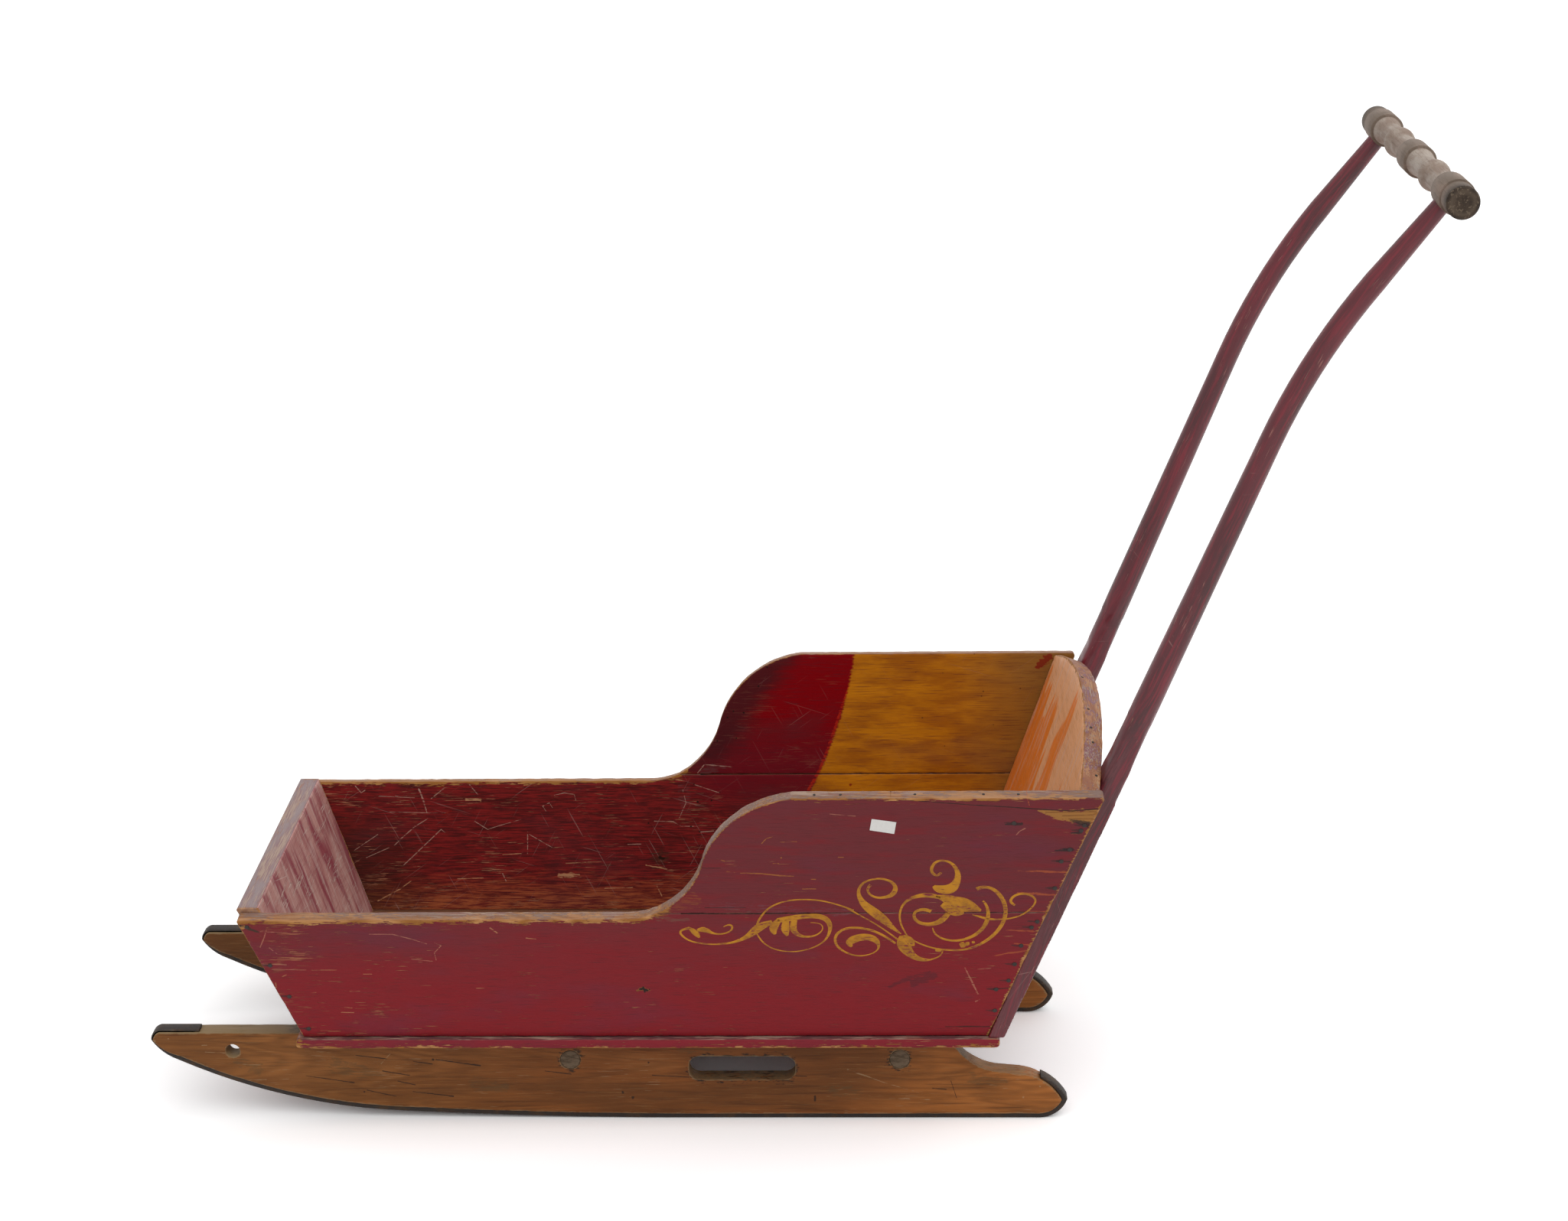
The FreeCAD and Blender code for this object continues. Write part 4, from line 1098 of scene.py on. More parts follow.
@dataclass(frozen=True)
class Gloss:
    """Dark maroon paint on the handle's rods, with fine scratches."""

    name: str = "handle paint"
    paint: Colour = "5C1420"
    dark: Colour = "3C1418"
    crimson: Colour = "761A28"
    mauve: Colour = "703238"
    scuff: Colour = "A06A60"
    scratch: Colour = "A87C74"
    bare: Colour = "8E6450"
    cloud: Pattern = Pattern(30, (0.2, 1, 1), 4, 0.6)
    mottle: Pattern = Pattern(420, (0.05, 1, 1), 4, 0.6)
    bar_end: tuple[float, float] = (0.36, 0.3)
    scuff_amount: float = 0.4
    scratch_amount: float = 0.5
    relief: float = 0.00025

    def build(self, groups: SharedGroups) -> Material:
        """Make the material.

        Args:
            groups: Shared groups.

        Returns:
            The material.
        """
        finish = Finish(self.name, groups, Specular_IOR_Level=0.4, Coat_Weight=0.2, Coat_Roughness=0.3)
        sheet = finish.sheet
        fibre, _ = finish.wood()
        cloud = sheet.noise(finish.grain, self.cloud)
        mottle = sheet.noise(finish.grain, self.mottle)
        colour = sheet.mix(sheet.fade(cloud, 0.35, 0.65), self.paint, self.dark)
        colour = sheet.mix(sheet.fade(mottle, 0.45, 0.65, 0.8), colour, self.crimson)
        bar = sheet.times(sheet.fade(finish.along, *self.bar_end), sheet.fade(mottle, 0.5, 0.38, 0.5))
        colour = sheet.mix(bar, colour, self.mauve)
        scuffs = finish.scuffed(self.scuff_amount)
        scratches = finish.scratched(self.scratch_amount)
        rub = finish.rubbed()
        colour = sheet.mix(sheet.times(scuffs, 0.6), colour, self.scuff)
        colour = sheet.mix(sheet.times(scratches, 0.5), colour, self.scratch)
        colour = sheet.mix(sheet.times(rub, 0.6), colour, self.bare)
        rough = sheet.scaled(cloud, 0.25, 0.3)
        height = sheet.math("SUBTRACT", sheet.times(fibre, 0.5), scuffs)
        return finish.close(colour, rough, height, self.relief)


@dataclass(frozen=True)
class WeatheredWood:
    """Bare, handled wood of the grip, dark at its ends and in its steps, with painted shade on its underside.
    """

    name: str = "handled bare wood"
    pale: Colour = "B0A397"
    brown: Colour = "8E7B6E"
    # painted shade for the grip's underside
    under: Colour = "86685A"
    fibre: Colour = "6E5A4C"
    step: Colour = "54402E"
    end: Colour = "44362A"
    end_dark: Colour = "261C14"
    end_speck: Colour = "7C6C5A"
    end_ring: Colour = "5E5042"
    cloud: Pattern = Pattern(60, (0.4, 1, 1), 4, 0.6)
    specks: Pattern = Pattern(420, None, 3, 0.6)
    relief: float = 0.0003

    def build(self, groups: SharedGroups) -> Material:
        """Make the material.

        Args:
            groups: Shared groups.

        Returns:
            The material.
        """
        finish = Finish(self.name, groups, Specular_IOR_Level=0.25)
        sheet = finish.sheet
        fibre, _ = finish.wood()
        cloud = sheet.noise(finish.grain, self.cloud)
        colour = sheet.mix(sheet.fade(cloud, 0.35, 0.65), self.pale, self.brown)
        # painted shade: the lower half of the grip darkens towards its underside
        colour = sheet.mix(sheet.fade(finish.depth, 0.004, -0.012, 0.55), colour, self.under)
        colour = sheet.mix(sheet.fade(fibre, 0.5, 0.72, 0.55), colour, self.fibre)
        steps = sheet.times(sheet.fade(finish.mask("edge_gap"), 1.6, 0.2, 0.75), sheet.fade(cloud, 0.7, 0.4))
        colour = sheet.mix(steps, colour, self.step)
        specks = sheet.fade(sheet.noise(finish.grain, self.specks), 0.57, 0.64, 0.6)
        ends = sheet.mix(sheet.fade(cloud, 0.35, 0.65), self.end, self.end_dark)
        ends = sheet.mix(specks, ends, self.end_speck)
        colour = sheet.mix(finish.mask("end"), colour, ends)
        colour = sheet.mix(finish.mask("end_ring"), colour, self.end_ring)
        rough = sheet.scaled(cloud, 0.2, 0.55)
        return finish.close(colour, rough, fibre, self.relief)


@dataclass(frozen=True)
class WroughtIron:
    """Dark worn iron with some rust."""

    name: str = "worn iron"
    dark: Colour = "2E2723"
    rust: Colour = "46321F"
    pit: Colour = "1B1715"
    bright: Colour = "5E564C"
    cloud: Pattern = Pattern(60, None, 5, 0.65)
    pits: Pattern = Pattern(900, None, 3, 0.6)
    relief: float = 0.0002

    def build(self, groups: SharedGroups) -> Material:
        """Make the material.

        Args:
            groups: Shared groups.

        Returns:
            The material.
        """
        finish = Finish(self.name, groups, Metallic=0.4, Specular_IOR_Level=0.4)
        sheet = finish.sheet
        pits = sheet.noise(finish.grain, self.pits)
        rust = sheet.fade(sheet.noise(finish.grain, self.cloud), 0.45, 0.7)
        colour = sheet.mix(rust, self.dark, self.rust)
        colour = sheet.mix(sheet.fade(pits, 0.5, 0.7, 0.5), colour, self.pit)
        rub = finish.rubbed()
        colour = sheet.mix(sheet.times(rub, 0.4), colour, self.bright)
        rough = sheet.scaled(pits, 0.3, 0.45)
        return finish.close(colour, rough, pits, self.relief)


@dataclass(frozen=True)
class GoldPaint:
    """Gold ornament paint, rubbed through in places."""

    name: str = "gold ornament paint"
    gold: Colour = "BC7E10"
    brown: Colour = "9A640E"
    board: Colour = "742028"
    streaks: Pattern = Pattern(800, (0.06, 1, 1), 3, 0.6)
    cloud: Pattern = Pattern(70, None, 3, 0.6)
    relief: float = 0.0001

    def build(self, groups: SharedGroups) -> Material:
        """Make the material.

        Args:
            groups: Shared groups.

        Returns:
            The material.
        """
        finish = Finish(self.name, groups, Specular_IOR_Level=0.3)
        sheet = finish.sheet
        streaks = sheet.noise(finish.grain, self.streaks)
        cloud = sheet.noise(finish.grain, self.cloud)
        colour = sheet.mix(sheet.fade(cloud, 0.35, 0.65), self.gold, self.brown)
        worn = sheet.fade(sheet.scaled(cloud, 0.35, streaks), 0.76, 0.81)
        colour = sheet.mix(worn, colour, self.board)
        rough = sheet.scaled(streaks, 0.2, 0.4)
        return finish.close(colour, rough, streaks, self.relief)


@dataclass(frozen=True)
class PlainSpot:
    """Small plain thing, such as a nail head or a paper label, mottled by noise."""

    name: str
    light: Colour
    dark: Colour
    rough: float
    metal: float = 0.0
    cloud: Pattern = Pattern(400, None, 4, 0.6)
    relief: float = 0.0001

    def build(self, groups: SharedGroups) -> Material:
        """Make the material.

        Args:
            groups: Shared groups.

        Returns:
            The material.
        """
        finish = Finish(self.name, groups, Metallic=self.metal)
        sheet = finish.sheet
        cloud = sheet.noise(sheet.node("TexCoord").outputs["Object"], self.cloud)
        colour = sheet.mix(cloud, self.light, self.dark)
        rough = sheet.scaled(cloud, 0.2, self.rough)
        return finish.close(colour, rough, cloud, self.relief)


class Bench:
    """Mesh work that every piece goes through, with its sizes in metres and its angles in degrees."""

    merge = 0.00001
    flat_angle = 0.4
    smooth_angle = 32
    far_gap = 0.05
    far_share = 8.0
    lumps = ((70, 1.0), (190, 0.5))

    @staticmethod
    def select(*objects: Object) -> None:
        """Select some objects alone and make the first one active.

        Args:
            *objects: The objects.
        """
        bpy.ops.object.select_all(action="DESELECT")
        for item in objects:
            item.select_set(True)
        bpy.context.view_layer.objects.active = objects[0]

    @staticmethod
    def add(operator: Callable[..., set], **settings: object) -> Object:
        """Add an object by one of Blender's own operators.

        Args:
            operator: The operator.
            **settings: Its properties.

        Returns:
            The new object, selected alone.
        """
        bpy.ops.object.select_all(action="DESELECT")
        operator(**settings)
        return bpy.context.view_layer.objects.active

    @staticmethod
    @contextmanager
    def edit(piece: Object, chosen: Callable[[MeshPolygon], bool] | None = None) -> Iterator[None]:
        """Work in edit mode on one object.

        Args:
            piece: The object.
            chosen: Test of the faces that are selected at the start, or all of them without one.
        """
        Bench.select(piece)
        bpy.context.tool_settings.mesh_select_mode = (False, False, True)
        bpy.ops.object.mode_set(mode="EDIT")
        bpy.ops.mesh.select_all(action="DESELECT" if chosen else "SELECT")
        if chosen:
            bpy.ops.object.mode_set(mode="OBJECT")
            for face in piece.data.polygons:
                face.select = chosen(face)
            bpy.ops.object.mode_set(mode="EDIT")
        yield
        bpy.ops.object.mode_set(mode="OBJECT")

    @staticmethod
    def apply(piece: Object, kind: str, **settings: object) -> None:
        """Add a modifier and apply it.

        Args:
            piece: The object.
            kind: Type of the modifier.
            **settings: Its properties.
        """
        Bench.select(piece)
        made = piece.modifiers.new(kind.lower(), kind)
        for name, value in settings.items():
            setattr(made, name, value)
        bpy.ops.object.modifier_apply(modifier=made.name)

    @staticmethod
    def round_edges(piece: Object, width: float, angle: float = 35.0, segments: int = 2) -> None:
        """Round the edges that are sharper than an angle."""
        Bench.apply(piece, "BEVEL", width=width, segments=segments, limit_method="ANGLE",
                    angle_limit=math.radians(angle))

    @staticmethod
    def copy_node(node: Object, name: str) -> Object:
        """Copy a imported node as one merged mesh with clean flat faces.

        Args:
            node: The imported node.
            name: Name of the copy.

        Returns:
            The copy.
        """
        piece = bpy.data.objects.new(name, node.data.copy())
        piece.data.name = name
        piece.data.materials.clear()
        bpy.context.scene.collection.objects.link(piece)
        with Bench.edit(piece):
            bpy.ops.mesh.remove_doubles(threshold=Bench.merge)
            bpy.ops.mesh.dissolve_limited(angle_limit=math.radians(Bench.flat_angle))
        return piece

    @staticmethod
    def sharp_edges(piece: Object, angle: float = 35.0) -> Segments:
        """List the ends of the mesh's sharp edges.

        Args:
            piece: The object.
            angle: Least angle between the faces, in degrees.

        Returns:
            Two ends for each sharp edge.
        """
        mesh = piece.data
        normals: dict[tuple[int, int], list[Vector]] = {}
        for face in mesh.polygons:
            for key in face.edge_keys:
                normals.setdefault(key, []).append(face.normal)
        limit = math.cos(math.radians(angle))
        found = []
        for (first, last), pair in normals.items():
            if len(pair) == 2 and pair[0].dot(pair[1]) < limit:
                found.append((mesh.vertices[first].co.copy(), mesh.vertices[last].co.copy()))
        return found

    @staticmethod
    def cut_grid(piece: Object, axis: Vector, step: float) -> None:
        """Cut the mesh by evenly spaced planes.

        Args:
            piece: The object.
            axis: Direction across the planes.
            step: Distance between them.
        """
        axis = axis.normalized()
        reach = [axis.dot(v.co) for v in piece.data.vertices]
        count = int((max(reach) - min(reach)) / step)
        start = (max(reach) + min(reach) - (count - 1) * step) / 2
        with Bench.edit(piece):
            for place in range(count):
                bpy.ops.mesh.select_all(action="SELECT")
                bpy.ops.mesh.bisect(plane_co=axis * (start + place * step), plane_no=axis)

    @staticmethod
    def points(piece: Object) -> np.ndarray:
        """List the places of the mesh's vertices.

        Args:
            piece: The object.

        Returns:
            One row for each vertex.
        """
        flat = np.empty(len(piece.data.vertices) * 3, np.float32)
        piece.data.vertices.foreach_get("co", flat)
        return flat.reshape(-1, 3).astype(float)

    @staticmethod
    def normals(piece: Object) -> np.ndarray:
        """Normals of the mesh's vertices, one row each."""
        return np.array([v.normal for v in piece.data.vertices])

    @staticmethod
    def number(piece: Object, name: str, values: np.ndarray) -> None:
        """Store a number at each vertex."""
        made = piece.data.attributes.new(name, "FLOAT", "POINT")
        made.data.foreach_set("value", np.asarray(values, np.float32))

    @staticmethod
    def grain(piece: Object, places: np.ndarray) -> None:
        """Store a pattern place at each vertex."""
        made = piece.data.attributes.new("grain", "FLOAT_VECTOR", "POINT")
        made.data.foreach_set("vector", np.ascontiguousarray(places, np.float32).ravel())

    @staticmethod
    def gap(piece: Object, segments: Segments, reach: Callable[[Vector], float] | float) -> np.ndarray:
        """Measure how far each vertex is from some edges, and store it as edge_gap in units of the wear.

        Args:
            piece: The object.
            segments: Ends of the edges.
            reach: Width of the wear along an edge, or its value by the place of the edge's middle, where
                0 leaves the edge out.

        Returns:
            Distance of each vertex from the nearest edge.
        """
        spots = Bench.points(piece)
        nearest = np.full(len(spots), Bench.far_gap)
        shares = np.full(len(spots), Bench.far_share)
        for first, last in segments:
            start = np.array(first)
            run = np.array(last) - start
            share = np.clip(((spots - start) @ run) / max(run @ run, 1e-12), 0, 1)
            distance = np.linalg.norm(spots - start - share[:, None] * run, axis=1)
            nearest = np.minimum(nearest, distance)
            width = reach if isinstance(reach, float) else reach((first + last) / 2)
            if width:
                shares = np.minimum(shares, distance / width)
        Bench.number(piece, "edge_gap", shares)
        return nearest

    @staticmethod
    def batter(piece: Object, gaps: np.ndarray, depth: float, reach: float) -> None:
        """Knock the sharp edges slightly out of true.

        Args:
            piece: The object.
            gaps: Distance of each vertex from the nearest sharp edge.
            depth: Greatest shift in metres.
            reach: Distance from the edge at which nothing moves.
        """
        normals = [v.normal.copy() for v in piece.data.vertices]
        for spot, away, gap in zip(piece.data.vertices, normals, gaps):
            if gap < reach:
                lump = sum(part * noise.noise(spot.co * count) for count, part in Bench.lumps)
                spot.co -= away * (abs(lump) * depth * (1 - gap / reach))

    @staticmethod
    def weather(piece: Object, rounding: float, axes: Sequence[Vector], grid: float,
                wear: Callable[[Vector], float] | float, batter: tuple[float, float]) -> None:
        """Round a board's edges, cut its faces into a grid and knock its edges out of true.

        Args:
            piece: The board.
            rounding: Size of the rounding.
            axes: Directions that the grid's planes cross.
            grid: Distance between the planes.
            wear: Width of the wear along an edge, as for gap.
            batter: Depth and reach of the knocks.
        """
        edges = Bench.sharp_edges(piece)
        Bench.round_edges(piece, rounding)
        for axis in axes:
            Bench.cut_grid(piece, axis, grid)
        Bench.batter(piece, Bench.gap(piece, edges, wear), *batter)

    @staticmethod
    def hit(piece: Object, start: Vector, aim: Vector) -> tuple[Vector, Vector]:
        """Follow a straight line to a piece.

        Args:
            piece: The object.
            start: Where the line starts.
            aim: Its direction.

        Returns:
            Point where it meets the piece, and the surface's normal there.
        """
        found, place, normal, _ = piece.ray_cast(start, aim)
        if not found:
            log.warning("%s: nothing at %s", piece.name, tuple(round(v, 3) for v in start))
            return start, -aim
        return place, normal

    @staticmethod
    def finish(piece: Object, slot: str, material: Material, *nodes: str) -> Object:
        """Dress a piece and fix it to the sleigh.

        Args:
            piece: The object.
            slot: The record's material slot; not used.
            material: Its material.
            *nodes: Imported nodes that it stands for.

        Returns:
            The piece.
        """
        Bench.select(piece)
        bpy.ops.object.shade_smooth_by_angle(angle=math.radians(Bench.smooth_angle))
        piece.data.materials.clear()
        piece.data.materials.append(material)
        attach(piece, BODY)
        if nodes:
            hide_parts(*nodes)
        log.info("%s: %d faces", piece.name, len(piece.data.polygons))
        return piece

    @staticmethod
    def second(piece: Object, material: Material,
               chosen: Callable[[MeshPolygon], bool]) -> None:
        """Give some faces a material of their own.

        Args:
            piece: The object.
            material: The second material.
            chosen: Test of the faces that take it.
        """
        piece.data.materials.append(material)
        for face in piece.data.polygons:
            face.material_index = int(chosen(face))


@dataclass
class Geometry:
    """Sizes that the CAD model gives, in metres."""

    floor_top: float = 0.1087
    lean: float = math.radians(9.76)
    foot_y: float = 0.1505
    side_gauge: float = 0.014
    grip_x: float = 0.609
    grip_z: float = 0.9422

    def side_coordinates(self, spots: np.ndarray, side: Side) -> np.ndarray:
        """Turn places of the sleigh into places on a leaning side.

        Args:
            spots: Places, one row each.
            side: Which side.

        Returns:
            Rows of the distance along it, up its slope, and in from its outer face.
        """
        y = spots[:, 1] * side.value - self.foot_y
        z = spots[:, 2] - self.floor_top
        rise = z * math.cos(self.lean) + y * math.sin(self.lean)
        depth = z * math.sin(self.lean) - y * math.cos(self.lean)
        return np.stack([spots[:, 0], rise, depth], 1)

    def on_side(self, side: Side, x: float, rise: float, proud: float = 0.0) -> Vector:
        """Find a point on the outer face of a side.

        Args:
            side: Which side.
            x: Distance along it.
            rise: Distance up its slope.
            proud: Distance out from its face.

        Returns:
            The point.
        """
        y = self.foot_y + rise * math.sin(self.lean) + proud * math.cos(self.lean)
        z = self.floor_top + rise * math.cos(self.lean) - proud * math.sin(self.lean)
        return Vector((x, side.value * y, z))

    def outward(self, side: Side) -> Vector:
        """Outward normal of a side."""
        return Vector((0, side.value * math.cos(self.lean), -math.sin(self.lean)))


@dataclass(frozen=True)
class SideWear:
    """Width of the bare wood along one side's edges, in metres.

    Calm is for the arris that hands don't reach, inner on the near side and outer on the far one.
    """

    front_rim: float
    rear: float
    rest: float
    calm: float = 0.0012


@dataclass
class Box:
    """The splayed box: side planks, floor board and the two end panels."""

    nodes: dict[str, Object]
    groups: SharedGroups
    geometry: Geometry
    plank_grid: float = 0.005
    panel_grid: float = 0.008
    edge_round: float = 0.0012
    plank_batter: tuple[float, float] = (0.0009, 0.006)
    panel_batter: tuple[float, float] = (0.0008, 0.006)
    near_wear: SideWear = SideWear(0.0052, 0.0026, 0.0011)
    far_wear: SideWear = SideWear(0.0036, 0.0008, 0.0008)
    front_rim: tuple[float, float] = (-0.1, 0.125)
    rear_start: float = 0.15
    foot: float = 0.003
    seam: float = 0.148
    seam_ends: tuple[float, float] = (-0.085, 0.243)
    seam_gap: float = 0.002
    far_shift: float = 1.7
    base_front: tuple[float, float] = (0.02, 0.004)
    base_low: tuple[float, float] = (0.004, 0.0017)
    base_top_wear: float = 0.0005
    base_rim_y: float = 0.145
    base_inside_y: float = 0.138
    front_wear: float = 0.0035
    back_wear: float = 0.0022
    front_nails: tuple = tuple((y, rise) for y in (-138, -128) for rise in (28, 66, 104))
    boards: dict[str, Object] = field(default_factory=dict)

    def build(self) -> None:
        """Build every board of the box."""
        for side, rim, outside, inside in (
            (Side.LEFT, "82695F", NEAR_OUTSIDE, NEAR_INSIDE),
            (Side.RIGHT, "966E50", FAR_OUTSIDE, FAR_INSIDE),
        ):
            outer = PaintedBoard(f"red outside {side.label}", low="80171F", high="68252A", rim=rim,
                                 marks=outside).build(self.groups)
            inner = SeatBoard(f"red inside {side.label}", low="501818", high="82201F", rim=rim,
                              marks=inside, haze="5A2C30", scuff="AC7658", scuff_amount=0.56,
                              scuff_front=0.06, specular=0.06, scratch_amount=0.8).build(self.groups)
            for tier in ("lower", "upper"):
                self.plank(f"side_{tier}_{side.label}", side, outer, inner)
        self.floor()
        self.front()
        self.back()

    def wear(self, side: Side, middle: Vector) -> float:
        """Width of the wear along one edge of a side.

        Args:
            side: Which side it is on.
            middle: The edge's middle.

        Returns:
            The width in metres, or 0 at the seam and at the foot.
        """
        x, rise, depth = self.geometry.side_coordinates(np.array([middle]), side)[0]
        wear = self.near_wear if side is Side.LEFT else self.far_wear
        inner = depth > self.geometry.side_gauge / 2
        on_seam = abs(rise - self.seam) < self.seam_gap and self.seam_ends[0] < x < self.seam_ends[1]
        if rise < self.foot or on_seam:
            return 0.0
        if inner == (side is Side.LEFT):
            return wear.calm
        if x < self.front_rim[0] and rise > self.front_rim[1]:
            return wear.front_rim
        return wear.rear if x > self.rear_start else wear.rest

    def plank(self, name: str, side: Side, outer: Material, inner: Material) -> None:
        """One plank of a side.

        Args:
            name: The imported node.
            side: Which side it is on.
            outer: Finish of its outer face and edges.
            inner: Finish of its inner face.
        """
        piece = Bench.copy_node(self.nodes[name], f"{name}_board")
        slope = Vector((0, side.value * math.sin(self.geometry.lean), math.cos(self.geometry.lean)))
        Bench.weather(piece, self.edge_round, (Vector((1, 0, 0)), slope), self.plank_grid,
                      lambda middle: self.wear(side, middle), self.plank_batter)
        away = self.geometry.outward(side)
        self.rim(piece, away)
        grain = self.geometry.side_coordinates(Bench.points(piece), side)
        grain[:, 2] += self.far_shift * (side is Side.RIGHT)
        Bench.grain(piece, grain)
        self.boards[name] = Bench.finish(piece, "red_paint", outer, name)
        Bench.second(piece, inner, lambda face: face.normal.dot(away) < -0.7)

    def rim(self, piece: Object, away: Vector) -> None:
        """Store how far each vertex belongs to a board's edge.

        Args:
            piece: The board.
            away: Normal of its faces.
        """
        facing = np.abs(Bench.normals(piece) @ np.array(away))
        Bench.number(piece, "rim", np.clip((0.85 - facing) / 0.5, 0, 1))

    def floor(self) -> None:
        """Build the base board: red edges with a mauve upper arris, bare wood on top inside the box."""
        top = self.geometry.floor_top
        edge = PaintedBoard("base board paint", low="7E1E28", high="7E1E28", rim="5E3A3C",
                            haze="5A2230", scuff_amount=0.4).build(self.groups)
        inside = PaintedBoard("base board inside", low="5E3626", high="6E4A34", rim="6E4A34",
                              hair="3A2218", haze="4A2C20", scuff="A07C58", scuff_amount=0.7,
                              scratch_amount=0.5).build(self.groups)
        piece = Bench.copy_node(self.nodes["floor_board"], "floor_board_dressed")
        front = min(v.co.x for v in piece.data.vertices)

        def wear(middle: Vector) -> float:
            """Give the width of the wear, most at the front end and on the lower arris.

            Args:
                middle: The edge's middle.

            Returns:
                The width in metres.
            """
            if middle.x < front + self.base_front[0]:
                return self.base_front[1]
            return self.base_low[1] if middle.z < top - self.base_low[0] else self.base_top_wear

        Bench.weather(piece, self.edge_round, (Vector((1, 0, 0)), Vector((0, 1, 0))), self.panel_grid, wear,
                      self.panel_batter)
        spots = Bench.points(piece)
        upward = Bench.normals(piece)[:, 2] > 0.5
        Bench.number(piece, "rim", (upward & (np.abs(spots[:, 1]) > self.base_rim_y)).astype(float))
        Bench.grain(piece, spots)
        self.boards["floor_board"] = Bench.finish(piece, "red_paint", edge, "floor_board")
        Bench.second(piece, inside,
                     lambda face: face.normal.z > 0.9 and abs(face.center.y) < self.base_inside_y)

    def panel(self, name: str, outward: float, outer: Material, inner: Material,
              wear: float) -> None:
        """One raked end panel.

        Args:
            name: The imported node.
            outward: Sign of X on its outer face.
            outer: Finish of its outer face and edges.
            inner: Finish of its inner face.
            wear: Width of the wear along its edges.
        """
        piece = Bench.copy_node(self.nodes[name], f"{name}_board")
        away = max(piece.data.polygons, key=lambda face: face.area).normal.copy()
        away *= math.copysign(1, away.x * outward)
        Bench.weather(piece, self.edge_round, (Vector((0, 1, 0)), Vector((-away.z, 0, away.x))),
                      self.panel_grid, wear, self.panel_batter)
        spots = Bench.points(piece)
        slope = np.array((-away.z, 0, away.x)) * math.copysign(1, away.x)
        base = np.array((0, 0, self.geometry.floor_top))
        depth = spots @ np.array(away)
        self.rim(piece, away)
        Bench.grain(piece, np.stack([spots[:, 1], (spots - base) @ slope, depth.max() - depth], 1))
        self.boards[name] = Bench.finish(piece, "red_paint", outer, name)
        Bench.second(piece, inner, lambda face: face.normal.dot(away) < -0.7)

    def front(self) -> None:
        """Build the raked front panel, scratched to a dull mauve."""
        outer_nails = Marks("2C1E1E", tuple((y, rise, 1.0) for y, rise in self.front_nails), 0.9)
        inner_nails = Marks("3A2420", tuple((-y, rise, 0.9) for y, rise in self.front_nails), 0.9)
        outer = PaintedBoard("front panel outside", low="7A2A34", high="74303A", rim="8E7C7C",
                             marks=(outer_nails,), scuff_amount=0.5, scratch_amount=0.5)
        # Painted light: the inside colours are set well above the paint's own, standing in for the light that
        # this inward, shaded face doesn't get.
        inner = BackBoard("front panel inside", low="96504E", high="B88880", rim="B0988E",
                          marks=(inner_nails,), haze="9A6A6A", hair="7A2A34", tongue="8A424A",
                          streak="D0B4AA", tongues=Pattern(60, (1, 0.22, 1), 2, 0.5, (0.3, 0, 0), 10),
                          tongue_reach=-2.0, tongue_top=-0.84, tongue_soft=0.3, calm=0.0,
                          scuff="D8BCB0", scuff_amount=0.6, scratch="D8C4BC", scratch_amount=0.7)
        self.panel("front_panel", -1, outer.build(self.groups), inner.build(self.groups), self.front_wear)

    def back(self) -> None:
        """Build the raked back panel with an arched top, orange inside."""
        dashes = Marks("7A1810", BACK_DASHES, 0.85)
        outer = PaintedBoard("back panel outside", low="74202A", high="68252A", rim="866068",
                             rim_bare="B0A08C", scuff_amount=0.45)
        inner = BackBoard("back panel inside", low="C47C44", high="F0AE7C", rim="9A7C7C",
                          marks=(dashes,), haze="C88050", hair="B87440", haze_share=0.15,
                          scuff="E8CAB8", scuff_amount=0.4, scuff_front=0.0)
        self.panel("back_panel", 1, outer.build(self.groups), inner.build(self.groups), self.back_wear)


